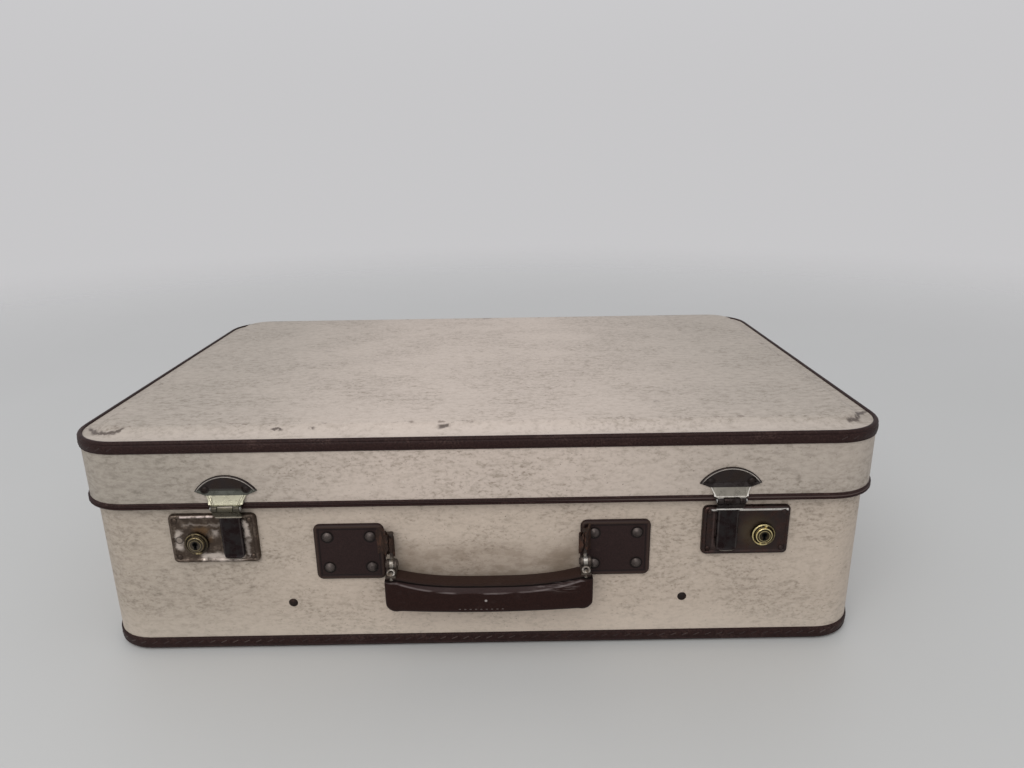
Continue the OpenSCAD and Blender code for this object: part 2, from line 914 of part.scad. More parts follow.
module right_lock_plate() {
    mirror([1, 0, 0])
        left_lock_plate();
}

module lock_plate_rivets() {
    color(nickel)
        for (p = lock_rivets)
            on_front(p.x, p.y)
                rivet(-board_t - lining_t - backing_t, field_z, plate_head_r, plate_head_h);
}

module lock_backing_plates() {
    color(nickel)
        for (s = [-1, 1])
            on_front(s * lock_x, lock_z)
                translate([0, 0, -board_t - lining_t - backing_t])
                    difference() {
                        linear_extrude(backing_t)
                            round_rect(lock_w - 4, lock_h - 3, lock_r);
                        for (i = [-1, 1], j = [-1, 1])
                            translate([i * lock_rivet_dx, j * lock_rivet_dz, 0])
                                rivet_hole(eps, 2 * backing_t);
                    }
}

module left_lock_bolt() {
    on_front(-lock_x, lock_z)
        lock_bolt();
}

module right_lock_bolt() {
    mirror([1, 0, 0])
        left_lock_bolt();
}

module left_key_plug() {
    on_front(-lock_x, lock_z)
        key_plug();
}

module right_key_plug() {
    mirror([1, 0, 0])
        left_key_plug();
}

module left_bolt_spring() {
    on_front(-lock_x, lock_z)
        bolt_spring();
}

module right_bolt_spring() {
    mirror([1, 0, 0])
        left_bolt_spring();
}

// Catch plates on the lid and the hasps that hang from them

module fan_outline() {
    intersection() {
        translate([0, fan_h - fan_r])
            circle(fan_r);
        polygon([
            [-fan_base / 2, 0], [fan_base / 2, 0], [fan_w / 2, fan_tip], [fan_w / 2, fan_h],
            [-fan_w / 2, fan_h], [-fan_w / 2, fan_tip]
        ]);
    }
}

module hasp_disc(r) {
    translate([hasp_axis_y, hasp_axis_z])
        circle(r);
}

module catch_plate(x) {
    cut_w = hasp_knuckle_w + 2 * knuckle_gap;
    color(nickel)
        difference() {
            union() {
                on_lid_front(x, fan_z) {
                    linear_extrude(sheet_t)
                        fan_outline();
                    linear_extrude(sheet_t + fan_rim_h)
                        difference() {
                            fan_outline();
                            translate([0, fan_h - fan_r])
                                circle(fan_r - fan_rim);
                        }
                }
                intersection() {
                    run_x(x - fan_w, 2 * fan_w)
                        polygon([
                            [lid_front, fan_z + 0.5], [lid_front, fan_z], [hasp_axis_y + 1.7, hasp_axis_z + 0.6],
                            [hasp_axis_y + 0.5, hasp_axis_z + 1.6], [lid_front - sheet_t, fan_z + 0.3],
                            [lid_front - sheet_t, fan_z + 0.5]
                        ]);
                    on_lid_front(x, fan_z)
                        linear_extrude(4 * barrel_r)
                            polygon([
                                [-fan_base / 2, eps], [fan_base / 2, eps], [barrel_w / 2, -fan_tip - 2.5],
                                [barrel_w / 2, -fan_h], [-barrel_w / 2, -fan_h], [-barrel_w / 2, -fan_tip - 2.5]
                            ]);
                }
                run_x(x - barrel_w / 2, barrel_w)
                    hasp_disc(barrel_r);
            }
            run_x(x - cut_w / 2, cut_w)
                hasp_disc(barrel_r + 0.4);
            run_x(x - barrel_w, 2 * barrel_w)
                hasp_disc(hasp_pin_r + run_gap);
            for (i = [-1, 1])
                on_lid_front(x + i * catch_rivet_dx, catch_rivet_z)
                    rivet_hole(eps, 2 * sheet_t);
        }
}

module hasp_pin(x) {
    color(nickel) {
        run_x(x - barrel_w / 2 - 0.4, barrel_w + 0.8)
            hasp_disc(hasp_pin_r);
        for (s = [-1, 1])
            run_x(x + s * (barrel_w / 2 + 0.5) - 0.4, 0.8)
                hasp_disc(hasp_pin_r + 0.5);
    }
}

// Section of the tongue from above: flat behind, rounded in front
module tongue_section() {
    deep = hasp_t + hasp_crown;
    round_r = (hasp_w * hasp_w / 4 + hasp_crown * hasp_crown) / (2 * hasp_crown);
    intersection() {
        translate([-hasp_w / 2, -deep])
            square([hasp_w, deep]);
        translate([0, round_r - deep])
            circle(round_r);
    }
}

module hasp(x) {
    web_low = neck_z - 0.4;
    neck_w = barrel_w - 0.6;
    color(nickel)
        difference() {
            union() {
                intersection() {
                    translate([x, tongue_y, tongue_low - eps])
                        linear_extrude(tongue_top - tongue_low + eps)
                            tongue_section();
                    translate([x, 0, (tongue_low + tongue_top) / 2 + hasp_r])
                        rotate([90, 0, 0])
                            linear_extrude(lid_d)
                                round_rect(hasp_w + eps, tongue_top - tongue_low + 2 * hasp_r, hasp_r);
                }
                run_x(x - neck_w / 2, neck_w)
                    polygon([
                        [tongue_y - 0.2, tongue_top - 1.4], [tongue_y - 0.2, tongue_top],
                        [hasp_axis_y + 0.7, neck_z - 0.6], [hasp_axis_y + 0.7, neck_z],
                        [hasp_axis_y - hasp_t + 0.4, neck_z], [hasp_axis_y - hasp_t + 0.4, neck_z - 1],
                        [tongue_y - hasp_t + 0.2, tongue_top - 1.4]
                    ]);
                run_x(x - hasp_knuckle_w / 2, hasp_knuckle_w) {
                    translate([hasp_axis_y - hasp_t + 0.5, web_low])
                        square([hasp_t, hasp_axis_z - web_low]);
                    hasp_disc(barrel_r);
                }
                run_x(x - hasp_w / 2 + hasp_r, hasp_w - 2 * hasp_r)
                    translate([tongue_y - hasp_t - hasp_crown, tongue_low + 1.4])
                        circle(1.2);
                translate([x - nose_w / 2, tongue_y - 0.2, nose_z])
                    cube([nose_w, base_front - tongue_y - 0.4, nose_h]);
            }
            run_x(x - barrel_w, 2 * barrel_w)
                hasp_disc(hasp_pin_r + run_gap);
        }
}

module left_catch_plate() {
    catch_plate(-hasp_x);
}

module right_catch_plate() {
    catch_plate(hasp_x);
}

module catch_plate_rivets() {
    color(nickel)
        for (x = catch_rivets)
            on_lid_front(x, catch_rivet_z)
                rivet(-band_in - lining_t, sheet_t, plate_head_r, plate_head_h);
}

module left_hasp_pin() {
    hasp_pin(-hasp_x);
}

module right_hasp_pin() {
    hasp_pin(hasp_x);
}

module left_hasp() {
    hasp(-hasp_x);
}

module right_hasp() {
    hasp(hasp_x);
}

// Handle: leather pads with loops, hooks, pins, and the layered grip

function eye_at(s) = s * eye_x + handle_shift;

module handle_pad(s) {
    ridge_r = 2;
    loop_x = eye_at(s);
    foot_x = pad_at(s) - s * (pad_w / 2 - loop_base_w / 2);
    color(brown) {
        on_front(pad_at(s), pad_z)
            difference() {
                union() {
                    linear_extrude(pad_t)
                        round_rect(pad_w, pad_h, pad_r);
                    sweep_round(pad_w, pad_h, pad_r)
                        intersection() {
                            translate([-2.4, pad_t - 1.4])
                                circle(ridge_r);
                            translate([-2.4 - ridge_r, pad_t / 2])
                                square([2 * ridge_r, pad_t]);
                        }
                }
                for (i = [-1, 1], j = [-1, 1])
                    translate([i * pad_rivet_dx, j * pad_rivet_dz, 0])
                        rivet_hole(eps, 2 * pad_t);
            }
        translate([0, 0, handle_z + loop_low])
            linear_extrude(loop_l)
                difference() {
                    union() {
                        translate([loop_x, loop_y])
                            circle(loop_r);
                        polygon([
                            [foot_x - loop_base_w / 2, base_front - 1], [foot_x + loop_base_w / 2, base_front - 1],
                            [loop_x + loop_base_w / 2, loop_y + 1.6], [loop_x - loop_base_w / 2, loop_y + 1.6]
                        ]);
                    }
                    translate([loop_x, loop_y])
                        circle(rod_r + 0.1);
                    translate([loop_x - loop_slit / 2, loop_y - 2 * loop_r])
                        square([loop_slit, 2 * loop_r]);
                }
    }
}

module handle_disc(r) {
    translate([handle_y, handle_z])
        circle(r);
}

module handle_hook(s) {
    rod_high = loop_low + loop_l;
    head_h = 1.2;
    color(nickel)
        difference() {
            union() {
                run_x(eye_at(s) - eye_w / 2, eye_w)
                    handle_disc(eye_r);
                translate([eye_at(s), loop_y, handle_z + (eye_r + handle_pin_r) / 2]) {
                    cylinder(r = rod_r, h = rod_high - (eye_r + handle_pin_r) / 2 + head_h / 2);
                    translate([0, 0, rod_high - (eye_r + handle_pin_r) / 2])
                        cylinder(r = rod_r + 1, h = head_h);
                }
            }
            run_x(eye_at(s) - eye_w, 2 * eye_w)
                handle_disc(handle_pin_r + run_gap);
        }
}

module handle_pin(s) {
    color(nickel) {
        run_x(eye_at(s) - tab_w / 2 - 0.3, tab_w + 0.6)
            handle_disc(handle_pin_r);
        for (i = [-1, 1])
            run_x(eye_at(s) + i * (tab_w / 2 + 0.45) - 0.4, 0.8)
                handle_disc(handle_pin_r + 0.8);
    }
}

module handle_tab(s) {
    color(nickel)
        difference() {
            union() {
                for (i = [-1, 1])
                    run_x(eye_at(s) + i * (tab_w - cheek_t) / 2 - cheek_t / 2, cheek_t) {
                        handle_disc(eye_r);
                        translate([handle_y - 0.8 * eye_r, handle_z + tab_low + tab_t / 2])
                            square([1.6 * eye_r, -tab_low - tab_t / 2]);
                    }
                translate([eye_at(s) - tab_w / 2, handle_y - tab_front, handle_z + tab_low])
                    cube([tab_w, tab_l, tab_t]);
            }
            run_x(eye_at(s) - tab_w, 2 * tab_w)
                handle_disc(handle_pin_r + run_gap);
            translate([eye_at(s), handle_y - tab_front + 3, handle_z + tab_low])
                rivet_hole(eps, 2 * tab_t);
        }
}

// Level of the grip strap's top above the table, at a given distance from the handle's middle
function strap_level(x) =
    handle_z + tab_low - (abs(x) < grip_flat ? grip_sag * (1 - pow(abs(x) / grip_flat, 3)) : 0);

function grip_station(k) = grip_l * (k / grip_steps - 0.5);

// A layer of the grip that follows the sagging upper edge, drawn as [x, z] and cut to a half length
module grip_layer(above, below, half) {
    reach = eye_x + tab_w / 2;
    xs = [for (k = [0:grip_steps]) 2 * reach * (k / grip_steps - 0.5)];
    intersection() {
        polygon(concat(
            [for (x = xs) [x + handle_shift, strap_level(x) - above]],
            [for (k = [grip_steps:-1:0]) [xs[k] + handle_shift, strap_level(xs[k]) - below]]
        ));
        translate([handle_shift - half, 0])
            square([2 * half, 2 * handle_z]);
    }
}

module grip_band(above, below, half, wide) {
    difference() {
        translate([0, handle_y + grip_mid_y + wide / 2, 0])
            rotate([90, 0, 0])
                linear_extrude(wide)
                    grip_layer(above, below, half);
        for (s = [-1, 1])
            translate([eye_at(s), handle_y - tab_front + 3, handle_z])
                rivet_hole(2 * eye_r + below, 0);
    }
}

module handle_strap() {
    color(brown)
        grip_band(0, grip_strap_t, eye_x + tab_w, grip_strap_w);
}

module handle_core() {
    color(nickel)
        grip_band(grip_strap_t, grip_strap_t + core_t, eye_x + tab_w / 2 - 1, core_w);
}

module handle_tab_rivets() {
    color(brass)
        for (s = [-1, 1])
            translate([eye_at(s), handle_y - tab_front + 3, handle_z + tab_low])
                rotate_extrude() {
                    translate([0, -grip_strap_t - core_t])
                        square([rivet_r, grip_strap_t + core_t + tab_t]);
                    translate([0, tab_t])
                        intersection() {
                            translate([0, -1])
                                circle(2.6);
                            square([3, 2]);
                        }
                }
}

// Round-edged section of the grip at one station, with the ends drawn in
function grip_ring(x) =
    let (
        fill = 1 - 0.25 * pow(abs(x) / (grip_l / 2), 30),
        high = strap_level(x) - grip_strap_t - core_t,
        low = handle_z - grip_drop + grip_rise * pow(abs(x) / (grip_l / 2), 2),
        mid = (high + low) / 2
    )
    [
        for (k = [0:section_steps - 1])
            let (a = 360 * (k + 0.5) / section_steps, c = cos(a), s = sin(a))
                [
                    x + handle_shift,
                    handle_y + grip_mid_y - grip_t / 2 * fill * sign(c) * pow(abs(c), 2 / 3),
                    mid - (high - low) / 2 * fill * sign(s) * pow(abs(s), 2 / 3)
                ]
    ];

module handle_grip() {
    color(brown)
        skin([for (k = [0:grip_steps]) grip_ring(grip_station(k))]);
}

module left_handle_pad() {
    handle_pad(-1);
}

module right_handle_pad() {
    handle_pad(1);
}

module handle_pad_rivets() {
    color(nickel)
        for (p = pad_rivets)
            on_front(p.x, p.y)
                rivet(-board_t - lining_t - backing_t, pad_t, pad_head_r, pad_head_h);
}

module handle_backing_plates() {
    color(nickel)
        for (s = [-1, 1])
            on_front(pad_at(s), pad_z)
                translate([0, 0, -board_t - lining_t - backing_t])
                    difference() {
                        linear_extrude(backing_t)
                            round_rect(pad_w - 6, pad_h - 6, pad_r);
                        for (i = [-1, 1], j = [-1, 1])
                            translate([i * pad_rivet_dx, j * pad_rivet_dz, 0])
                                rivet_hole(eps, 2 * backing_t);
                    }
}

module left_handle_hook() {
    handle_hook(-1);
}

module right_handle_hook() {
    handle_hook(1);
}

module left_handle_pin() {
    handle_pin(-1);
}

module right_handle_pin() {
    handle_pin(1);
}

module left_handle_tab() {
    handle_tab(-1);
}

module right_handle_tab() {
    handle_tab(1);
}

// Packing straps: two halves that hang from rivets, cross the floor and meet in a buckle

// Side view of one half as [distance towards the buckle from the case's middle, up]
module strap_side(back_l) {
    bar_low = floor_z + strap_t + strap_gap;
    bar_high = bar_low + buckle_t;
    bar_far = buckle_d / 2;
    bar_near = bar_far - buckle_bar;
    turn = bar_near - strap_gap;
    wall_y = inner_y;
    slope_far = base_d / 2 - base_margin;
    slope_near = slope_far - slope_w;
    drop_y = bar_far + 6;
    polygon([
        [wall_y, strap_top_z], [wall_y, shelf_z], [slope_far, shelf_z], [slope_near, floor_z],
        [turn - strap_t, floor_z], [turn - strap_t, bar_high + strap_gap + strap_t],
        [bar_far, bar_high + strap_gap + strap_t], [drop_y, floor_z + 2 * strap_t + strap_gap],
        [bar_far + back_l, floor_z + 2 * strap_t + strap_gap], [bar_far + back_l, floor_z + strap_t + strap_gap],
        [drop_y, floor_z + strap_t + strap_gap], [bar_far, bar_high + strap_gap], [turn, bar_high + strap_gap],
        [turn, floor_z + strap_t], [slope_near, floor_z + strap_t], [slope_far, shelf_z + strap_t],
        [wall_y - strap_t, shelf_z + strap_t], [wall_y - strap_t, strap_top_z]
    ]);
}

module packing_strap(x, s, back_l) {
    color(webbing)
        difference() {
            mirror([0, s < 0 ? 1 : 0, 0])
                run_x(x - strap_w / 2, strap_w)
                    strap_side(back_l);
            if (s < 0)
                on_front(x, strap_z)
                    rivet_hole(board_t + lining_t + strap_t + eps, 0);
            else
                on_back(x, strap_z)
                    rivet_hole(board_t + lining_t + strap_t + eps, 0);
        }
}

module strap_buckle(x) {
    color(nickel)
        translate([x, 0, floor_z + strap_t + strap_gap])
            linear_extrude(buckle_t)
                difference() {
                    round_rect(buckle_w, buckle_d, 3);
                    square([buckle_w - 2 * buckle_bar, buckle_d - 2 * buckle_bar], center = true);
                }
}

module left_front_strap() {
    packing_strap(strap_at(-1), -1, tip_l);
}

module left_rear_strap() {
    packing_strap(strap_at(-1), 1, return_l);
}

module right_front_strap() {
    packing_strap(strap_at(1), -1, tip_l);
}

module right_rear_strap() {
    packing_strap(strap_at(1), 1, return_l);
}

module left_strap_buckle() {
    strap_buckle(strap_at(-1));
}

module right_strap_buckle() {
    strap_buckle(strap_at(1));
}

module packing_strap_rivets() {
    color(brown)
        for (p = strap_rivets) {
            on_front(p.x, p.y)
                rivet(-board_t - lining_t - strap_t, 0, strap_head_r, plate_head_h + 0.8);
            on_back(p.x, p.y)
                rivet(-board_t - lining_t - strap_t, 0, strap_head_r, plate_head_h + 0.8);
        }
}

base_wall();
base_panel();
base_binding();
base_lining();
lid_wall();
lid_panel();
lid_top_binding();
lid_edge_binding();
lid_inner_band();
lid_wall_lining();
lid_panel_lining();
left_hinge_base_leaf();
right_hinge_base_leaf();
left_hinge_lid_leaf();
right_hinge_lid_leaf();
left_hinge_pin();
right_hinge_pin();
hinge_base_rivets();
hinge_lid_rivets();
left_lock_plate();
right_lock_plate();
lock_plate_rivets();
lock_backing_plates();
left_lock_bolt();
right_lock_bolt();
left_key_plug();
right_key_plug();
left_bolt_spring();
right_bolt_spring();
left_catch_plate();
right_catch_plate();
catch_plate_rivets();
left_hasp_pin();
right_hasp_pin();
left_hasp();
right_hasp();
left_handle_pad();
right_handle_pad();
handle_pad_rivets();
handle_backing_plates();
left_handle_hook();
right_handle_hook();
left_handle_pin();
right_handle_pin();
left_handle_tab();
right_handle_tab();
handle_tab_rivets();
handle_core();
handle_strap();
handle_grip();
left_front_strap();
left_rear_strap();
right_front_strap();
right_rear_strap();
left_strap_buckle();
right_strap_buckle();
packing_strap_rivets();
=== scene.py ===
import json
from functools import reduce
from math import asin, atan2, cos, exp, hypot, pi, radians, sin

import bmesh
import bpy
from bmesh.types import BMEdge, BMVert
from mathutils import Matrix, Vector


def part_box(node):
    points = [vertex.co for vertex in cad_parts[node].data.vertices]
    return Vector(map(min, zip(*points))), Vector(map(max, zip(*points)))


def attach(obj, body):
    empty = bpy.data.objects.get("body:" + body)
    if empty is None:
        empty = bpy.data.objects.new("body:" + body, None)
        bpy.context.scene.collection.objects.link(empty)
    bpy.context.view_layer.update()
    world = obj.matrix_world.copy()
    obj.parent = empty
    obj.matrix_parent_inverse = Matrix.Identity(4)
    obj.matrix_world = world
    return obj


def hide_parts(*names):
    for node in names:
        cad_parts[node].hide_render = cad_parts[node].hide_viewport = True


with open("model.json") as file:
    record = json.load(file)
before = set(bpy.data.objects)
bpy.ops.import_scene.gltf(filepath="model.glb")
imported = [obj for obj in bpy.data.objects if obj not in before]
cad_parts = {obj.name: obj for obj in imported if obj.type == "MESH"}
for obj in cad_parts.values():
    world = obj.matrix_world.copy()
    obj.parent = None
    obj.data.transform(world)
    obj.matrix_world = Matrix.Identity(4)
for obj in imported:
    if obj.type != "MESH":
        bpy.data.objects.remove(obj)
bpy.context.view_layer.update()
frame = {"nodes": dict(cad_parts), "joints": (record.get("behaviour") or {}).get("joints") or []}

# Setting: a pale table in soft daylight from above, and a wide lens that stands close in front of
# the case and looks down on it. None of it belongs to the case.
mm = 0.001
scene = bpy.context.scene
scene.view_settings.view_transform = "Standard"

lens_at = Vector((24.228, -688.133, 368.008))
yaw, pitch, roll = radians(0.140), radians(-17.282), radians(-0.875)
ahead = Vector((sin(yaw) * cos(pitch), cos(yaw) * cos(pitch), sin(pitch)))
level = Vector((cos(yaw), -sin(yaw), 0))
rising = level.cross(ahead)
across = cos(roll) * level + sin(roll) * rising
upright = cos(roll) * rising - sin(roll) * level
camera = bpy.data.objects.new("camera", bpy.data.cameras.new("camera"))
camera.data.sensor_width, camera.data.lens, camera.data.clip_start = 36, 25.951, 0.01
camera.matrix_world = (Matrix.Translation(lens_at * mm)
                       @ Matrix((across, upright, -ahead)).transposed().to_4x4())
scene.collection.objects.link(camera)
scene.camera = camera


def join(tree, socket, value):
    """Sets a socket, or links a tone to it."""
    if isinstance(value, Tone):
        tree.links.new(value.socket, socket)
    elif isinstance(value, tuple) and socket.type == "RGBA":
        socket.default_value = (*value, 1)
    else:
        socket.default_value = value


class Tone:
    """A value in a finish; arithmetic on it adds Math nodes."""

    def __init__(self, tree, socket):
        self.tree, self.socket = tree, socket

    def math(self, kind, first, second=0.0):
        node = self.tree.nodes.new("ShaderNodeMath")
        node.operation = kind
        join(self.tree, node.inputs[0], first)
        join(self.tree, node.inputs[1], second)
        return Tone(self.tree, node.outputs[0])

    def __add__(self, other):
        return self.math("ADD", self, other)

    def __sub__(self, other):
        return self.math("SUBTRACT", self, other)

    def __rsub__(self, other):
        return self.math("SUBTRACT", other, self)

    def __mul__(self, other):
        return self.math("MULTIPLY", self, other)

    def __abs__(self):
        return self.math("ABSOLUTE", self)

    def most(self, other):
        return self.math("MAXIMUM", self, other)

    def least(self, other):
        return self.math("MINIMUM", self, other)

    __radd__, __rmul__ = __add__, __mul__


class Finish:
    """A procedural material, or the world's light, built node by node."""

    def __init__(self, name, owner=None):
        self.owner = owner or bpy.data.materials.new(name)
        self.owner.use_nodes = True
        self.tree = self.owner.node_tree
        self.shader = self.tree.nodes.get("Principled BSDF") or self.tree.nodes["Background"]
        self.at, self.colour, self.worn = self.place(), None, None

    def add(self, kind, settings={}, sockets={}, out=0):
        node = self.tree.nodes.new("ShaderNode" + kind)
        for key, value in settings.items():
            setattr(node, key, value)
        for key, value in sockets.items():
            join(self.tree, node.inputs[key], value)
        return Tone(self.tree, node.outputs[out])

    def set(self, sockets):
        for key, value in sockets.items():
            join(self.tree, self.shader.inputs[key], value)

    def place(self):
        return self.add("TexCoord", out="Object")

    def axis(self, letter, at=None):
        return self.add("SeparateXYZ", {}, {0: at or self.at}, "XYZ".index(letter))

    def grain(self, size, seed=0.0, detail=3.0, rough=0.5):
        """Noise with marks of about the given size along each axis, in millimetres."""
        spot = self.add("Mapping", {}, {"Vector": self.at, "Location": (seed, 1.7 * seed, 0.6 * seed),
                                        "Scale": [1 / (mm * s) for s in size]})
        return self.add("TexNoise", {}, {"Vector": spot, "Scale": 1.0, "Detail": detail, "Roughness": rough})

    def rise(self, value, low, high):
        """0 before low, 1 past high, eased between."""
        return self.add("MapRange", {"interpolation_type": "SMOOTHSTEP"},
                        {"Value": value, "From Min": low, "From Max": high})

    def past(self, value, low, high):
        """A rise whose limits are in millimetres."""
        return self.rise(value, low * mm, high * mm)

    def band(self, value, middle, outer, inner):
        """1 within inner of a middle, 0 past outer; all in millimetres."""
        return self.past(abs(value - middle * mm), outer, inner)

    def blend(self, share, first, second):
        return self.add("Mix", {"data_type": "RGBA"}, {0: share, 6: first, 7: second}, 2)

    def tint(self, share, over):
        """Lays a share of another colour over the colour so far."""
        self.colour = self.blend(share, self.colour, over)
        self.set({"Base Color": self.colour})

    def near(self, spot, inner, outer):
        """1 within inner of a spot, 0 past outer; all in millimetres."""
        return self.past(self.measure(self.at, [mm * c for c in spot]), outer, inner)

    def within(self, x, z, soft, at=None):
        """1 inside a window of (low, high) across and up, fading over soft; in millimetres."""
        masks = []
        for letter, (low, high) in (("X", x), ("Z", z)):
            half = (high - low) / 2
            masks.append(self.band(self.axis(letter, at), (low + high) / 2, half + soft, half - soft))
        return masks[0] * masks[1]

    def measure(self, first, second):
        return self.add("VectorMath", {"operation": "DISTANCE"}, {0: first, 1: second}, "Value")

    def from_axis(self, x, z):
        """The distance from an axis that stands square to the front."""
        flattened = self.add("VectorMath", {"operation": "MULTIPLY"}, {0: self.at, 1: (1, 0, 1)})
        return self.measure(flattened, (x * mm, 0, z * mm))

    def bump(self, height, depth):
        return self.add("Bump", {}, {"Strength": 1.0, "Distance": depth * mm, "Height": height})


table = Finish("pale_table")
cloud = table.grain((400, 400, 400), 1, 2)
away = table.add("VectorMath", {"operation": "LENGTH"}, {0: table.at}, "Value")
table.set({"Base Color": table.blend(cloud, (0.515, 0.515, 0.50), (0.555, 0.555, 0.545)),
           "Roughness": 0.42 + 0.1 * cloud, "Alpha": table.rise(away, 2.6, 0.7)})
bm = bmesh.new()
bmesh.ops.create_grid(bm, x_segments=1, y_segments=1, size=4)
floor = bpy.data.objects.new("floor", bpy.data.meshes.new("floor"))
bm.to_mesh(floor.data)
bm.free()
floor.data.materials.append(table.owner)
scene.collection.objects.link(floor)

scene.world = bpy.data.worlds.new("daylight")
sky = Finish("daylight", scene.world)
height = sky.axis("Z", sky.add("TexCoord", out="Generated"))
sky.set({"Color": sky.blend(sky.rise(height, 0.05, 0.75), (0.575, 0.570, 0.580), (0.74, 0.75, 0.78))})
lamp = bpy.data.objects.new("window_light", bpy.data.lights.new("window_light", "AREA"))
lamp.data.size, lamp.data.energy, lamp.data.color = 1.8, 24, (1, 0.985, 0.96)
lamp.location = (-0.5, -1.7, 1.7)
lamp.rotation_euler = (-lamp.location + Vector((0, 0, 0.1))).to_track_quat("-Z", "Y").to_euler()
scene.collection.objects.link(lamp)

# Base wall: one strip of fibreboard bent round with a joint at the back, covered in cream paper
# that imitates vellum. It has gone grey towards the ends and brown where hands reach for the handle;
# towards the handle's ends that brown band is also painted shade from the pads and loops. Along the
# bottom the paper is painted lighter, as light thrown up from the table.


def box_of(node):
    """The low and the high corner of a solid, in millimetres."""
    return [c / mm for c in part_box(node)]


def flat(w, d, r, z, turns=10):
    """A flat sheet with round corners, lying at a height; in millimetres."""
    bm = bmesh.new()
    bmesh.ops.create_grid(bm, x_segments=1, y_segments=1, size=0.5,
                          matrix=Matrix.Translation((0, 0, z)) @ Matrix.Diagonal((w, d, 1, 1)))
    bmesh.ops.bevel(bm, geom=bm.verts[:], offset=r, segments=turns, profile=0.5,
                    affect="VERTICES", material=-1)
    bm.normal_update()
    return bm


def press(bm, steps):
    """Sinks or raises the sheet's middle in steps of (inward, upward)."""
    middle = max(bm.faces, key=lambda f: f.calc_area())
    for inward, upward in steps:
        bmesh.ops.inset_individual(bm, faces=[middle], thickness=inward, depth=upward, use_even_offset=True)


def slice_at(bm, spot, normal, cut_off=False):
    """Scores a shape along a plane, or cuts off what lies beyond it."""
    bmesh.ops.bisect_plane(bm, geom=bm.verts[:] + bm.edges[:] + bm.faces[:], dist=1e-5,
                           plane_co=spot, plane_no=normal, clear_outer=cut_off)


def thicken(bm, thick):
    """Gives a sheet its thickness behind the side that faces out."""
    bmesh.ops.solidify(bm, geom=bm.faces[:], thickness=thick)


def strip(w, d, r, low, high, thick):
    """A board bent into a wall with round corners, w by d outside."""
    bm = flat(w, d, r, low)
    bmesh.ops.inset_individual(bm, faces=bm.faces[:], thickness=0.0, depth=high - low)
    bm.normal_update()
    bmesh.ops.delete(bm, geom=[f for f in bm.faces if abs(f.normal.z) > 0.5], context="FACES_ONLY")
    slice_at(bm, (0, 0, 0), (1, 0, 0))
    bmesh.ops.recalc_face_normals(bm, faces=bm.faces[:])
    thicken(bm, thick)
    return bm


def girth(w, d, r):
    """The length of a round-cornered outline."""
    return 2 * (w + d - 4 * r + pi * r)


def along(x, y, w, d, r):
    """How far round the outline a point lies, from the middle of the back by the left side."""
    cx, cy = w / 2 - r, d / 2 - r
    px, py = min(max(x, -cx), cx), min(max(y, -cy), cy)
    turn = atan2(px - x, y - py) % (2 * pi)
    if min(turn, 2 * pi - turn) < 1e-4:
        return -px + girth(w, d, r) * (px > 0)
    return (r * turn + cx + (turn > pi / 2 - 1e-4) * (cy - py) + (turn > pi - 1e-4) * (px + cx)
            + (turn > 1.5 * pi - 1e-4) * 2 * (py + cy))


def wrap(bm, w, d, r):
    """Lays the paper round a wall: its map runs along the outline and up."""
    paper = bm.loops.layers.uv.new("paper")
    for face in bm.faces:
        right_side = face.calc_center_median().x > 0
        for corner in face.loops:
            x, y, z = corner.vert.co
            run = along(x, y, w, d, r)
            if run == 0 and right_side:
                run = girth(w, d, r)
            corner[paper].uv = (run * mm, z * mm)


def lay(bm):
    """Lays the paper flat on a panel."""
    paper = bm.loops.layers.uv.new("paper")
    for face in bm.faces:
        for corner in face.loops:
            corner[paper].uv = (corner.vert.co.x * mm, corner.vert.co.y * mm)


def put(bm, name, body, finish, slot, *nodes, at=None, crease=35):
    """Sets a piece in its place in metres, on its body and instead of its solids."""
    bmesh.ops.transform(bm, matrix=Matrix.Diagonal((mm, mm, mm, 1)) @ (at or Matrix()), verts=bm.verts[:])
    bmesh.ops.remove_doubles(bm, verts=bm.verts[:], dist=1e-6)
    bmesh.ops.recalc_face_normals(bm, faces=bm.faces[:])
    mesh = bpy.data.meshes.new(name)
    bm.to_mesh(mesh)
    bm.free()
    mesh.shade_smooth()
    mesh.set_sharp_from_angle(angle=radians(crease))
    mesh.materials.append(finish.owner)
    piece = bpy.data.objects.new(name, mesh)
    scene.collection.objects.link(piece)
    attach(piece, body)
    if nodes:
        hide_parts(*nodes)
    return piece


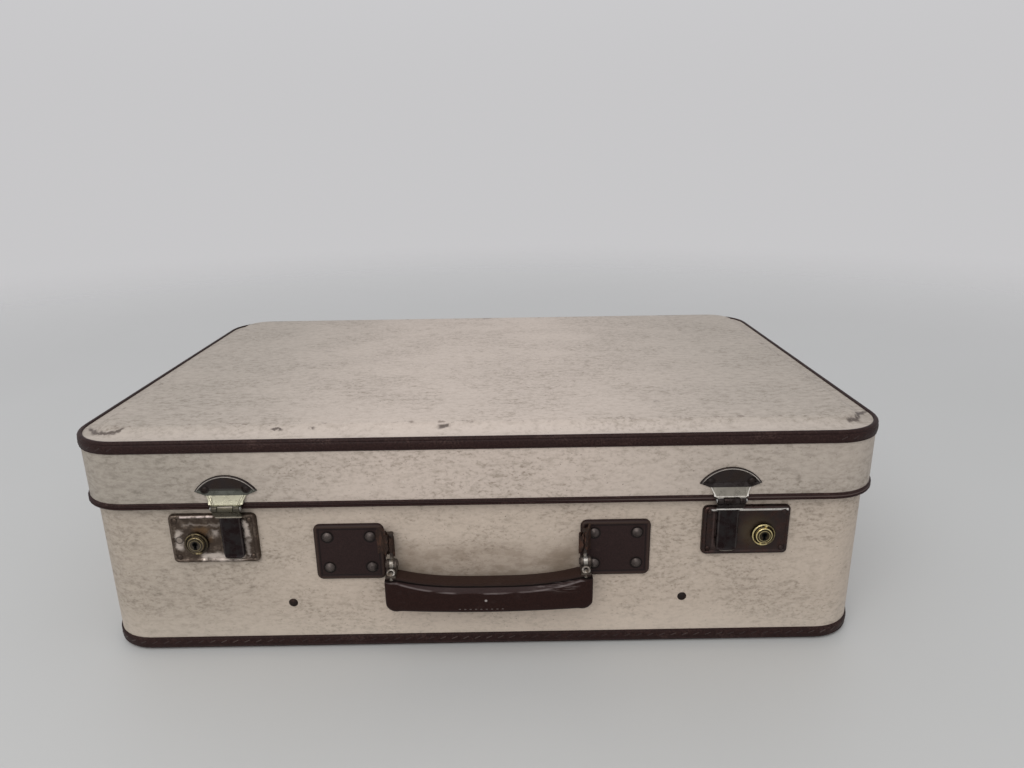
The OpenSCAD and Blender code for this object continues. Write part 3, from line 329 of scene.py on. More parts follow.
def cream_paper(name, clean, left_end, right_end):
    """The covering paper, with how far its ends have greyed."""
    f = Finish(name)
    f.at = f.add("UVMap", {"uv_map": "paper"})
    cloud = f.grain((75, 45, 1), 3, 4, 0.55)
    patch = f.grain((22, 13, 1), 11, 4, 0.6)
    stroke = f.grain((9, 4.2, 1), 5, 5, 0.72)
    speck = f.grain((3.2, 2.1, 1), 8, 4, 0.66)
    pit = f.grain((1.7, 1.4, 1), 13, 1, 0.5)
    soiled = f.rise(cloud + 0.8 * patch, 0.76, 1.08)
    f.colour = f.blend(f.rise(cloud, 0.32, 0.68), clean, tuple(0.93 * c for c in clean))
    f.tint((0.23 + 0.42 * soiled) * f.rise(stroke, 0.45, 0.68), (0.27, 0.222, 0.173))
    f.tint((0.20 + 0.46 * soiled) * f.rise(speck, 0.49, 0.70), (0.20, 0.155, 0.116))
    f.tint(0.5 * f.rise(speck, 0.40, 0.26), (0.66, 0.59, 0.52))
    f.tint(0.75 * f.rise(pit, 0.725, 0.80), (0.09, 0.066, 0.052))
    f.at = f.place()
    x = f.axis("X")
    greyed = left_end * f.past(x, -40, -260) + right_end * f.past(x, 40, 260)
    f.tint(greyed, f.blend(f.rise(stroke, 0.36, 0.64), (0.280, 0.260, 0.215), (0.172, 0.158, 0.130)))
    # Painted light: the lowest 45 mm of the paper are painted lighter, standing in for light thrown up from
    # the table.
    f.tint(0.25 * f.past(f.axis("Z"), 45, 6), (0.70, 0.62, 0.53))
    tooth = speck + 0.8 * stroke
    f.set({"Roughness": 0.44 + 0.2 * tooth, "Normal": f.bump(tooth, 0.12), "Specular IOR Level": 0.35})
    return f


base_low, base_high = box_of("base_wall")
base_w, base_d, base_r = base_high.x - base_low.x, base_high.y - base_low.y, 35.4
board_t, grip_x = 2.4, 6
base_paper = cream_paper("cream_paper_base", (0.545, 0.455, 0.375), 0.38, 0.14)
up, from_grip = base_paper.axis("Z"), abs(base_paper.axis("X") - grip_x * mm)
on_front = base_paper.past(base_paper.axis("Y"), -170, -190)
# A darker band behind and above the handle: hand grime, made stronger towards the handle's ends, where it is
# also painted shade from the pads and loops.
grime_and_shade_band = on_front * base_paper.past(up, 98, 74) * base_paper.past(up, 40, 56)
grime_and_shade_band = grime_and_shade_band * base_paper.past(from_grip, 84, 60)
grimy = base_paper.rise(base_paper.grain((20, 20, 9), 19, 4, 0.6), 0.40, 0.62)
grime_and_shade_strength = 0.36 + 0.25 * base_paper.past(from_grip, 30, 64) + 0.36 * grimy
base_paper.tint(grime_and_shade_band * grime_and_shade_strength, (0.235, 0.18, 0.132))
bm = strip(base_w, base_d, base_r, base_low.z, base_high.z, board_t)
wrap(bm, base_w, base_d, base_r)
put(bm, "base_wall_covered", "base", base_paper, "cover", "base_wall")

# Base panel: the bottom board, pressed in a die so that its field stands proud under the case and
# takes the rubbing. Covered in the same paper.
panel_low, panel_high = box_of("base_panel")
bm = flat(panel_high.x - panel_low.x, panel_high.y - panel_low.y, base_r - board_t, panel_high.z)
press(bm, [(9.55, 0), (2, -0.25), (3, -0.95), (3, -0.95), (2, -0.35)])
thicken(bm, board_t)
lay(bm)
put(bm, "base_panel_covered", "base", base_paper, "cover", "base_panel")

# Base binding: a strip of brown fibre folded over the bottom edge and sewn right through the board
# with a slanting stitch.
stitch_pitch, stitch_l, stitch_lean = 9, 5, {"base": radians(25), "lid": radians(28)}


def only(kind, geom):
    """The vertices or the edges in what an operator made."""
    return [g for g in geom if isinstance(g, kind)]


def weld(bm):
    """Joins points that coincide."""
    bmesh.ops.remove_doubles(bm, verts=bm.verts[:], dist=1e-4)


def ease(bm, edges, offset, segments=2):
    """Rounds some edges of a shape."""
    bmesh.ops.bevel(bm, geom=list(edges), offset=offset, segments=segments, profile=0.5,
                    affect="EDGES", material=-1)


def sweep(section, w, d, r, turns=10):
    """Carries a closed section of (outward, height) round a round-cornered outline."""
    cx, cy = w / 2 - r, d / 2 - r
    bm = bmesh.new()
    ring = [bm.verts.new((0, d / 2 + out, up)) for out, up in section]
    edges = [bm.edges.new((a, b)) for a, b in zip(ring, ring[1:] + ring[:1])]
    for run, corner in (((-cx, 0, 0), (-cx, cy, 0)), ((0, -2 * cy, 0), (-cx, -cy, 0)),
                        ((2 * cx, 0, 0), (cx, -cy, 0)), ((0, 2 * cy, 0), (cx, cy, 0)), ((-cx, 0, 0), None)):
        made = bmesh.ops.extrude_edge_only(bm, edges=edges)["geom"]
        bmesh.ops.translate(bm, vec=run, verts=only(BMVert, made))
        edges = only(BMEdge, made)
        if corner:
            made = bmesh.ops.spin(bm, geom=edges, cent=corner, axis=(0, 0, 1), angle=pi / 2, steps=turns)
            edges = only(BMEdge, made["geom_last"])
    weld(bm)
    return bm


def spot_at(run, w, d, r):
    """The point and the outward direction at a length along the outline."""
    cx, cy = w / 2 - r, d / 2 - r
    legs = [((0, cy), (-1, 0), cx), ((-cx, cy), (0, -1), 2 * cy), ((-cx, -cy), (1, 0), 2 * cx),
            ((cx, -cy), (0, 1), 2 * cy), ((cx, cy), (-1, 0), cx)]
    for k, ((x, y), (ux, uy), length) in enumerate(legs):
        turn = k * pi / 2
        if run <= length:
            return x + ux * run - r * sin(turn), y + uy * run + r * cos(turn), turn
        run -= length
        if run <= r * pi / 2:
            turn += run / r
            ex, ey = x + ux * length, y + uy * length
            return ex - r * sin(turn), ey + r * cos(turn), turn
        run -= r * pi / 2


def sew(name, w, d, r, z, out, body):
    """A row of slanting stitches round the outline; bars with cut-off corners."""
    bm = bmesh.new()
    whole = girth(w, d, r)
    count = int(whole / stitch_pitch)
    for k in range(count):
        x, y, turn = spot_at(whole * (k + 0.5) / count, w, d, r)
        bmesh.ops.create_cube(bm, size=1, matrix=(
            Matrix.Translation((x - out * sin(turn), y + out * cos(turn), z)) @ Matrix.Rotation(turn, 4, "Z")
            @ Matrix.Rotation(stitch_lean[body], 4, "Y") @ Matrix.Diagonal((stitch_l, 0.7, 0.9, 1))))
    ease(bm, bm.edges[:], 0.22, 1)
    put(bm, name, body, thread, "binding")


binding = Finish("brown_fibre")
grain = binding.grain((1.4, 1.4, 1.4), 2, 4, 0.6)
rub = binding.rise(binding.grain((26, 26, 8), 6, 4, 0.6), 0.52, 0.74)
binding.colour = binding.blend(binding.rise(grain, 0.35, 0.7), (0.0180, 0.0080, 0.0072),
                               (0.034, 0.0165, 0.0145))
binding.tint(0.5 * rub * binding.rise(grain, 0.4, 0.62), (0.085, 0.052, 0.044))
edge_z = box_of("lid_edge_binding")[0].z
glint = binding.band(binding.axis("Z"), edge_z + 2.4, 0.9, 0.3) * binding.past(binding.axis("X"), 20, 140)
binding.tint(0.6 * glint, (0.13, 0.095, 0.085))
binding.set({"Roughness": 0.38 + 0.25 * grain, "Normal": binding.bump(grain, 0.12),
             "Specular IOR Level": 0.12})
thread = Finish("waxed_thread")
twist = thread.grain((0.7, 0.7, 0.7), 4, 2)
soiled = thread.rise(thread.grain((60, 60, 60), 9, 3), 0.36, 0.58)
thread.colour = thread.blend(twist, (0.050, 0.032, 0.028), (0.092, 0.066, 0.058))
thread.tint(soiled, (0.024, 0.0130, 0.0115))
thread.set({"Roughness": 0.55, "Normal": thread.bump(twist, 0.1), "Specular IOR Level": 0.3})
foot_z = base_low.z
fold = [(-6.5, -0.02), (-6.45, -0.6), (-6, -1), (-5, -1.2), (-2, -1.4), (-0.8, -1.3), (0.2, -0.8), (0.85, 0),
        (1.05, 0.7), (0.7, 1.2), (1.0, 1.6), (1.2, 2.4), (1.25, 4.6), (1.2, 7), (1.0, 7.5), (0.75, 7.75),
        (1.0, 8.0), (0.95, 8.35), (0.55, 8.6), (0.02, 8.62), (0.02, -0.02)]
bm = sweep([(out, foot_z + up) for out, up in fold], base_w, base_d, base_r)
put(bm, "base_binding_strip", "base", binding, "binding", "base_binding", crease=50)
sew("base_binding_stitches", base_w, base_d, base_r, foot_z + 4.7, 1.0, "base")

# Base lining: thin tan paper with a faint woven check, pasted in the base up to just under its rim
# and down over the sunk field of the floor.
lining_t, shelf_z, check_pitch = 0.6, 5.5, 14
lining = Finish("checked_paper")
weave = lining.grain((0.9, 0.9, 0.9), 3, 3)
stripe_x, stripe_y, stripe_z = (
    lining.band(lining.add("Math", {"operation": "PINGPONG"}, {0: lining.axis(letter), 1: check_pitch * mm}),
                check_pitch / 2, 5.2, 6.0) for letter in "XYZ")
foxed = lining.rise(lining.grain((90, 90, 90), 7, 5, 0.6), 0.52, 0.75)
lining.colour = lining.blend(0.34 * (stripe_x + stripe_y + stripe_z), (0.50, 0.40, 0.285),
                             (0.36, 0.255, 0.17))
lining.tint(0.4 * foxed, (0.30, 0.21, 0.135))
lining.tint(0.35 * lining.rise(weave, 0.4, 0.7), (0.58, 0.49, 0.37))
lining.set({"Roughness": 0.75, "Normal": lining.bump(weave, 0.08)})

inset, lining_top = board_t + lining_t, box_of("base_lining")[1].z
bm = flat(base_w - 2 * inset, base_d - 2 * inset, base_r - inset, lining_top)
press(bm, [(0, shelf_z - lining_top), (9, 0), (2, -0.25), (3, -1), (3, -1), (2, -0.25)])
thicken(bm, lining_t)
put(bm, "base_lining_paper", "base", lining, "lining", "base_lining")

# Lid wall: the same covered board, one board's clearance larger all round, so that it slips over
# the base. Its left end has gone greyest.
lid_low, lid_high = box_of("lid_wall")
lid_w, lid_d, lid_r = lid_high.x - lid_low.x, lid_high.y - lid_low.y, 40
wall_paper = cream_paper("cream_paper_lid_wall", (0.582, 0.493, 0.426), 0.68, 0.46)
bm = strip(lid_w, lid_d, lid_r, lid_low.z, lid_high.z, board_t)
wrap(bm, lid_w, lid_d, lid_r)
put(bm, "lid_wall_covered", "lid", wall_paper, "cover", "lid_wall")

# Lid panel: pressed board with a narrow margin under the binding, a raised field and a slight crown.
# The paper is rubbed along the press line and creased and scuffed at its front corners.
panel_top = lid_high.z + board_t
lid_margin, slope_w, crown = 8, 12, 2.5
slope = [(2, 0.444), (2, 1.111), (2, 1.445), (2, 1.445), (2, 1.111), (2, 0.444)]


def score(bm, axis, levels):
    """Scores a shape square to an axis at each of the levels."""
    normal = Vector((axis == "x", axis == "y", 0))
    for level in levels:
        slice_at(bm, level * normal, normal)


def even(half, count):
    """The levels that part a width about the middle into a count of even strips."""
    return [half * (2 * k / count - 1) for k in range(1, count)]


def crowned(w, d, r, z, margin):
    """A panel with a flat margin, a pressed slope inside it and a crowned field."""
    bm = flat(w, d, r, z, 12)
    press(bm, [(margin / 2, 0), (margin / 2, 0)] + slope)
    half_x, half_y = w / 2 - margin - slope_w, d / 2 - margin - slope_w
    score(bm, "x", even(half_x, 28))
    score(bm, "y", even(half_y, 20))
    for vert in bm.verts:
        share_x, share_y = (min(1, max(0, half - abs(c)) / half_y)
                            for half, c in zip((half_x, half_y), vert.co))
        vert.co.z += crown * (1 - (1 - share_x) ** 2) * (1 - (1 - share_y) ** 2)
    bm.normal_update()
    return bm


def crease(first, second, wide):
    """A rubbed mark between two points on the lid, in millimetres."""
    (ax, ay), (bx, by) = first, second
    length = hypot(bx - ax, by - ay)
    dx, dy = (bx - ax) / length, (by - ay) / length
    x, y = lid_paper.axis("X") - ax * mm, lid_paper.axis("Y") - ay * mm
    on = lid_paper.band(dx * x + dy * y, length / 2, length / 2 + 2, length / 2 - 1)
    return on * lid_paper.past(abs(dx * y - dy * x + 0.005 * wander), wide, 0.25 * wide)


lid_paper = cream_paper("cream_paper_lid", (0.556, 0.475, 0.412), 0.43, 0.41)
edge_x = lid_w / 2 * mm - abs(lid_paper.axis("X"))
edge_y = lid_d / 2 * mm - abs(lid_paper.axis("Y"))
lid_paper.tint(0.28 * lid_paper.past(edge_y, 18.5, 13), (0.60, 0.525, 0.470))
patch = lid_paper.grain((9, 9, 9), 21, 4, 0.65)
wander = lid_paper.grain((6, 6, 6), 25, 3, 0.6) - 0.5
press_line = lid_paper.band(edge_x.least(edge_y) + 0.006 * wander, lid_margin + slope_w, 3.5, 0.8)
press_line = press_line * lid_paper.rise(patch, 0.53, 0.68)
lid_paper.tint(0.65 * press_line, (0.16, 0.12, 0.098))
left_corner = [((-294, -164.5), (-281, -178.5), 2.4), ((-282, -178), (-271, -182.8), 2.0),
               ((-272, -182.5), (-264, -184), 2.0), ((-265, -184), (-259, -181), 1.4)]
right_corner = [((298, -153), (290, -161), 3.4), ((291, -159), (279, -177), 2.4),
                ((281, -177), (271, -182), 2.6)]
front_edge = [((-150, -183), (-143, -183), 0.9), ((-28, -183), (-21, -182.5), 2.4),
              ((-123, -182.5), (-120, -182.5), 2.0)]
marks = reduce(Tone.most, [crease(*mark) for mark in left_corner + right_corner + front_edge])
lid_paper.tint(0.85 * marks * lid_paper.rise(patch, 0.33, 0.50), (0.060, 0.041, 0.034))
smudge = lid_paper.near((-3, 176, 180), 2, 9).most(lid_paper.near((138, -143, 182), 0.8, 3.5))
smudge = smudge.most(0.6 * lid_paper.near((-155, 23, 183), 1, 6))
lid_paper.tint(0.6 * smudge * lid_paper.rise(patch, 0.35, 0.55), (0.12, 0.09, 0.075))
bm = crowned(lid_w, lid_d, lid_r, panel_top, lid_margin)
thicken(bm, board_t)
lay(bm)
put(bm, "lid_panel_covered", "lid", lid_paper, "cover", "lid_panel")

# Lid top binding: the brown fibre strip over the lid's top edge, with a groove pressed under its
# bead and the slanting stitch showing on the front of it.
fold = [(-2.6, 0.02), (-2.55, 0.6), (-2.2, 1), (-1.5, 1.3), (-0.6, 1.3), (0.3, 0.85), (0.9, 0.1),
        (1.05, -0.6), (0.65, -1.15), (1.0, -1.7), (1.25, -2.4), (1.35, -4), (1.25, -6.2), (1.0, -6.8),
        (0.75, -7.1), (1.0, -7.4), (0.95, -7.8), (0.55, -8.08), (0.02, -8.1), (0.02, 0.02)]
bm = sweep([(out, panel_top + up) for out, up in fold], lid_w, lid_d, lid_r)
put(bm, "lid_top_binding_strip", "lid", binding, "binding", "lid_top_binding", crease=50)
sew("lid_top_binding_stitches", lid_w, lid_d, lid_r, panel_top - 4.2, 0.95, "lid")

# Lid edge binding: a narrow strip of the same fibre folded round the lid's lower edge, with a bead
# pressed along its middle.
fold = [(-3.2, 4.7), (-3.2, 0.35), (-2.8, 0), (0.6, 0), (1.1, 0.25), (1.4, 0.8), (1.35, 1.35), (0.8, 1.7),
        (1.0, 2.0), (1.4, 2.4), (1.0, 2.8), (0.8, 3.1), (1.35, 3.45), (1.3, 4.1), (0.8, 4.65), (0.02, 4.8),
        (0.02, 0.78), (-2.42, 0.78), (-2.42, 4.7)]
bm = sweep([(out, edge_z + up) for out, up in fold], lid_w, lid_d, lid_r)
put(bm, "lid_edge_binding_strip", "lid", binding, "binding", "lid_edge_binding", crease=50)

# Lid inside: a bare fibreboard strip that stops on the base's rim, and the checked lining paper on
# it and on the panel.
fibreboard = Finish("bare_fibreboard")
pulp = fibreboard.grain((2.5, 2.5, 2.5), 2, 5, 0.65)
fibreboard.colour = fibreboard.blend(fibreboard.rise(pulp, 0.3, 0.7), (0.165, 0.105, 0.062),
                                     (0.30, 0.205, 0.13))
fibreboard.set({"Base Color": fibreboard.colour, "Roughness": 0.85, "Normal": fibreboard.bump(pulp, 0.2)})


def dress(finish, *nodes):
    """Gives solids that stay as they are a finish of the scene's own."""
    for node in nodes:
        for place in frame["nodes"][node].material_slots:
            place.material = finish.owner


dress(fibreboard, "lid_inner_band")
low, high = box_of("lid_wall_lining")
inner_w, inner_d, inner_r = high.x - low.x, high.y - low.y, 33.6
bm = strip(inner_w, inner_d, inner_r, low.z, high.z, lining_t)
put(bm, "lid_wall_lining_paper", "lid", lining, "lining", "lid_wall_lining")
bm = crowned(inner_w, inner_d, inner_r, box_of("lid_panel_lining")[0].z + lining_t, 1.6)
thicken(bm, lining_t)
put(bm, "lid_panel_lining_paper", "lid", lining, "lining", "lid_panel_lining")

# Hinges: brass-plated steel butts riveted to the back walls, dull and brown between the knuckles,
# each turning on a steel pin.


def plated(name, bright, dark, share, rough, lines=(9, 9, 0.3)):
    """Worn plate on pressed metal, with the share that has tarnished kept as worn."""
    f = Finish(name)
    blot = f.grain((6, 6, 6), 5, 5, 0.62)
    pit = f.grain((0.8, 0.8, 0.8), 9, 3)
    scratch = f.rise(f.grain(lines, 3, 3, 0.6), 0.5, 0.72)
    tarnish = f.rise(blot + 0.25 * pit, 1.0 - share, 1.28 - share)
    f.colour = f.blend(0.5 * scratch, bright, tuple(0.72 * c for c in bright))
    f.tint(tarnish, dark)
    f.set({"Metallic": 1 - 0.45 * tarnish, "Roughness": rough + 0.3 * tarnish + 0.12 * scratch,
           "Normal": f.bump(scratch + 0.8 * pit, 0.03)})
    f.worn = tarnish
    return f


brass = plated("dull_brass", (0.40, 0.30, 0.145), (0.20, 0.142, 0.070), 0.48, 0.32)
steel = plated("zinced_steel", (0.36, 0.355, 0.34), (0.11, 0.085, 0.065), 0.45, 0.34)
dress(brass, *(f"{side}_hinge_{part}" for side in ("left", "right") for part in ("base_leaf", "lid_leaf")),
      "hinge_base_rivets", "hinge_lid_rivets")
dress(steel, "left_hinge_pin", "right_hinge_pin")

# Lock plates: sheet brass pressed to a tray with a broad rolled rim, nickelled, and riveted through
# the front wall. The left one is bright where it isn't rubbed brown, with painted reflections on it;
# the right one has gone dark. Each has a painted highlight along the top of its rim.
wall_y, lock_z, lock_x = base_low.y, 98, 198
tray_w, tray_h, tray_r, tray_t = 65, 40, 4, 0.8
stud_x, stud_z, stud_r = -26, -1, 3
front = Matrix(((1, 0, 0, 0), (0, 0, -1, 0), (0, 1, 0, 0), (0, 0, 0, 1)))


def on_wall(x, y, z, turn=1):
    """From a drawing of a piece seen from in front to its place on a front wall."""
    return Matrix.Translation((x, y, z)) @ front @ Matrix.Diagonal((turn, 1, 1, 1))


def cut_window(bm, x0, x1, y0, y1):
    """Cuts a window in a sheet that is drawn from in front."""
    score(bm, "x", (x0, x1))
    score(bm, "y", (y0, y1))
    gone = []
    for face in bm.faces:
        x, y, _ = face.calc_center_median()
        if x0 < x < x1 and y0 < y < y1:
            gone.append(face)
    bmesh.ops.delete(bm, geom=gone, context="FACES")


nickel = plated("worn_nickel", (0.18, 0.140, 0.112), (0.052, 0.034, 0.023), 0.60, 0.24)
sway = nickel.grain((7, 7, 5), 31, 4, 0.6)
moved = nickel.add("VectorMath", {"operation": "ADD"}, {0: nickel.at, 1: 0.011 * (sway - 0.5)})
# Painted reflections: bright patches and wavy bands laid on the left tray's field.
painted_reflection_spots = [((-227, -222), (89, 104), 1.8, 0.80), ((-209, -178), (80.5, 85.5), 2.0, 0.80),
                ((-176, -171.5), (98, 113), 1.5, 0.85), ((-175, -171.5), (82, 97), 1.5, 0.45),
                ((-200, -195), (100, 104.5), 2.0, 0.55), ((-220, -188), (108.6, 110.2), 0.9, 0.30)]
painted_reflections = reduce(Tone.most, [share * nickel.within(x, z, soft, moved) for x, z, soft, share in painted_reflection_spots])
nickel.tint(painted_reflections, (0.64, 0.555, 0.49))
burnt = nickel.near((-207, -196, 101), 4, 11)
nickel.tint(0.6 * burnt * nickel.rise(sway, 0.36, 0.56), (0.19, 0.105, 0.045))
# Painted highlight: a broken bright line along the top of the rolled rim.
broken = nickel.rise(nickel.grain((6, 6, 9), 37, 2), 0.34, 0.56)
nickel.tint(0.85 * (nickel.within((-221, -184), (115.5, 116.9), 0.5) * broken), (0.74, 0.62, 0.57))
stud = nickel.from_axis(stud_x - lock_x, lock_z + stud_z)
nickel.tint(0.6 * nickel.past(stud, 2.6, 1.8), (0.13, 0.095, 0.072))
nickel.tint(0.8 * nickel.band(stud, 2.6, 0.7, 0.2), (0.03, 0.02, 0.014))
dark_nickel = plated("tarnished_nickel", (0.058, 0.034, 0.029), (0.023, 0.0130, 0.0110), 0.56, 0.22)
broken = dark_nickel.rise(dark_nickel.grain((1.6, 9, 30), 6, 2), 0.4, 0.6)
dark_nickel.tint(0.6 * (dark_nickel.within((172, 180), (84, 112), 2.5) * broken), (0.115, 0.075, 0.068))
dark_nickel.tint(0.55 * dark_nickel.near((206, -197, 97), 6, 17), (0.088, 0.064, 0.034))
# Painted highlight: a near-white line along the top of the rolled rim.
dark_nickel.tint(dark_nickel.within((171, 228), (114.1, 115.8), 0.5), (0.97, 0.93, 0.88))
lock_rivet = plated("lock_rivet", (0.085, 0.062, 0.048), (0.040, 0.026, 0.019), 0.5, 0.34)
lock_rivet.tint(lock_rivet.past(lock_rivet.axis("X"), -10, 10), (0.034, 0.021, 0.018))

rolled_rim = [(0.05, 1.2), (0.15, 0.8), (0.35, 0.7), (0.5, 0.5), (0.6, 0.25), (0.55, 0.05), (0.4, -0.15),
              (0.35, -0.35), (0.3, -0.35), (0.3, -0.15)]
for side, turn, finish, slot in (("left", 1, nickel, "worn_nickel"),
                                 ("right", -1, dark_nickel, "dark_nickel")):
    bm = flat(tray_w, tray_h, tray_r, 0)
    press(bm, rolled_rim)
    cut_window(bm, -21.7, -9.3, -6.9, 0.5)
    cut_window(bm, 9.5, 19.5, -12.5, 20.5)
    for k in range(12):
        score(bm, "x", [stud_x - 2.8 + 0.5 * k])
        score(bm, "y", [stud_z - 2.8 + 0.5 * k])
    for vert in bm.verts:
        away = hypot(vert.co.x - stud_x, vert.co.y - stud_z)
        if away < stud_r and vert.co.z > 2:
            vert.co.z += 0.5 * cos(away / stud_r * pi / 2) - 0.35 * exp(-(away / 0.9) ** 2)
    thicken(bm, tray_t)
    put(bm, f"{side}_lock_tray", "base", finish, slot, f"{side}_lock_plate",
        at=on_wall(-turn * lock_x, wall_y, lock_z, turn), crease=40)
dress(lock_rivet, "lock_plate_rivets")
dress(steel, "lock_backing_plates", "left_bolt_spring", "right_bolt_spring")

# Key buttons: turned brass with a raised collar round the key plug and two lugs to push it by. Each
# carries a flat bolt behind the plate.
key_dx, key_drop, lug_angles, lug_out = 13, 3.2, (100, 285), 7.6
button = [(0, 3.95), (4.36, 3.95), (4.36, 6.25), (4.6, 6.55), (5.0, 6.6), (5.7, 6.6), (6.1, 6.35),
          (6.25, 5.9), (6.35, 5.0), (6.7, 4.55), (7.1, 4.5), (7.4, 4.9), (7.9, 5.2), (8.4, 5.2), (8.8, 4.8),
          (9, 4.2), (9, 3.2), (3.1, 3.2), (3.1, 1.2), (0, 1.2)]


def turned(section, cuts=40):
    """A turned piece from (radius, height) points."""
    bm = bmesh.new()
    verts = [bm.verts.new((radius, 0, up)) for radius, up in section]
    edges = [bm.edges.new(pair) for pair in zip(verts, verts[1:])]
    bmesh.ops.spin(bm, geom=verts + edges, cent=(0, 0, 0), axis=(0, 0, 1), angle=2 * pi, steps=cuts,
                   use_merge=True)
    weld(bm)
    return bm


def edges_of(verts):
    return {e for v in verts for e in v.link_edges}


def block(bm, low, high, edge, segments=2):
    """A bar with rounded edges between two corners."""
    low, high = Vector(low), Vector(high)
    made = bmesh.ops.create_cube(bm, size=1, matrix=Matrix.Translation((low + high) / 2)
                                 @ Matrix.Diagonal((*(high - low), 1)))["verts"]
    ease(bm, edges_of(made), edge, segments)


def post(bm, x, y, low, high, radius):
    """A small round lug with a rounded top."""
    place = Matrix.Translation((x, y, (low + high) / 2))
    made = bmesh.ops.create_cone(bm, cap_ends=True, segments=16, radius1=radius, radius2=0.75 * radius,
                                 depth=high - low, matrix=place)["verts"]
    ease(bm, {e for e in edges_of(made) if min(p.co.z for p in e.verts) > high - 1e-3}, 0.3)


for side, turn, bright, deep, face, share in (
        ("left", 1, (0.38, 0.305, 0.165), (0.12, 0.088, 0.048), (0.075, 0.060, 0.045), 0.55),
        ("right", -1, (0.78, 0.66, 0.34), (0.26, 0.185, 0.085), (0.050, 0.036, 0.020), 0.42)):
    key_x, key_z = -turn * (lock_x + key_dx), lock_z - key_drop
    lugs = [(lug_out * cos(radians(angle)), lug_out * sin(radians(angle))) for angle in lug_angles]
    key_brass = plated(f"{side}_key_brass", bright, deep, share, 0.20)
    away = key_brass.from_axis(key_x, key_z)
    dull = key_brass.blend(key_brass.past(away, 5.0, 5.4), face, (0.026, 0.018, 0.011))
    # The raised rings and the lugs show bright brass: rubbed brass, with painted highlights; the outer ring
    # is painted brighter on its left, and the lugs carry painted glints.
    rub = key_brass.band(away, 5.9, 0.6, 0.3).most(
        key_brass.band(away, 8.2, 0.75, 0.35) * (1 - 0.6 * key_brass.worn)
        * (0.3 + 0.7 * key_brass.past(key_brass.axis("X"), key_x + 5, key_x - 3)))
    for x, z in lugs:
        rub = rub.most(key_brass.past(key_brass.from_axis(key_x + turn * x, key_z + z), 1.4, 1.0))
    key_brass.set({"Base Color": key_brass.blend(rub, dull, key_brass.colour)})
    bm = turned(button)
    for x, z in lugs:
        post(bm, x, z, 4.2, 5.7, 1.1)
    block(bm, (-3.1, -6, 0.4), (8, 6, 1.6), 0.2)
    block(bm, (0, -6.3, 0.4), (22.9, -1.3, 1.6), 0.2)
    put(bm, f"{side}_key_button", f"{side}_bolt", key_brass, "brass", f"{side}_lock_bolt", crease=30,
        at=on_wall(-turn * lock_x, wall_y, lock_z, turn) @ Matrix.Translation((-key_dx, -key_drop, 0)))

    plug = plated(f"{side}_key_plug_brass", face, tuple(0.6 * c for c in face), 0.5, 0.28)
    plug.tint(0.5 * plug.band(plug.from_axis(key_x, key_z), 4.1, 0.35, 0.15), bright)
    # Painted shade: the keyhole is painted near-black and rough, standing in for the dark inside it.
    keyhole_shade = plug.past(plug.from_axis(key_x, key_z + 0.9), 2.2, 1.9)
    keyhole_shade = keyhole_shade.most(plug.within((key_x - 1.15, key_x + 1.15), (key_z - 3.7, key_z), 0.15))
    plug.tint(keyhole_shade, (0.004, 0.0035, 0.003))
    plug.set({"Roughness": 0.3 + 0.6 * keyhole_shade})
    dress(plug, f"{side}_key_plug")

# Catch plates: pressed steel fans riveted to the lid, with a raised bead round the arc. Below the
# fan a lip slopes forward to the barrel that carries the hasp's pin; it is where a thumb rubs. The
# bead carries a painted highlight, and so do the right lip's edges.
hasp_x, lid_y = lock_x - 14.5, lid_low.y
hasp_hinge = next(j for j in frame["joints"] if j["name"] == "left_hasp_hinge")
axis_y, axis_z = (c / mm for c in hasp_hinge["pos_m"][1:])
fan_half, fan_foot, fan_tip, fan_top, fan_r = 22.75, 14.5, 3.6, 16, 27.07
fan_z = box_of("left_catch_plate")[1].z - fan_top
lip_half, lip_spread, lip_low = 11.4, 0.483, axis_z + 2.3
barrel_half, barrel_r, knuckle_half, knuckle_gap = 10.25, 2.5, 5.6, 0.25


def turn_to(bm, sheet, judge, facing):
    """Turns a sheet over if one of its faces looks away from a direction."""
    bm.normal_update()
    if judge.normal.dot(Vector(facing)) < 0:
        bmesh.ops.reverse_faces(bm, faces=sheet)
        bm.normal_update()


def ribbon(bm, x, route, thick, facing):
    """A bent sheet through (y, z, half width) points, its thickness behind the side that faces out."""
    before = set(bm.faces)
    y, z, half = route[0]
    edges = [bm.edges.new([bm.verts.new((x + side * half, y, z)) for side in (-1, 1)])]
    for y, z, half in route[1:]:
        made = bmesh.ops.extrude_edge_only(bm, edges=edges)["geom"]
        edges = only(BMEdge, made)
        for vert in only(BMVert, made):
            vert.co = (x + (half if vert.co.x > x else -half), y, z)
    sheet = [f for f in bm.faces if f not in before]
    turn_to(bm, sheet, sheet[0], facing)
    bmesh.ops.solidify(bm, geom=sheet, thickness=thick)


def barrel(bm, x0, x1, y, z, radius):
    """A rolled tube along the front, with broken edges."""
    place = Matrix.Translation(((x0 + x1) / 2, y, z)) @ Matrix.Rotation(pi / 2, 4, "Y")
    made = bmesh.ops.create_cone(bm, cap_ends=True, segments=24, radius1=radius, radius2=radius,
                                 depth=x1 - x0, matrix=place)["verts"]
    ease(bm, {e for e in edges_of(made) if abs(e.verts[0].co.x - e.verts[1].co.x) < 1e-4}, 0.35)


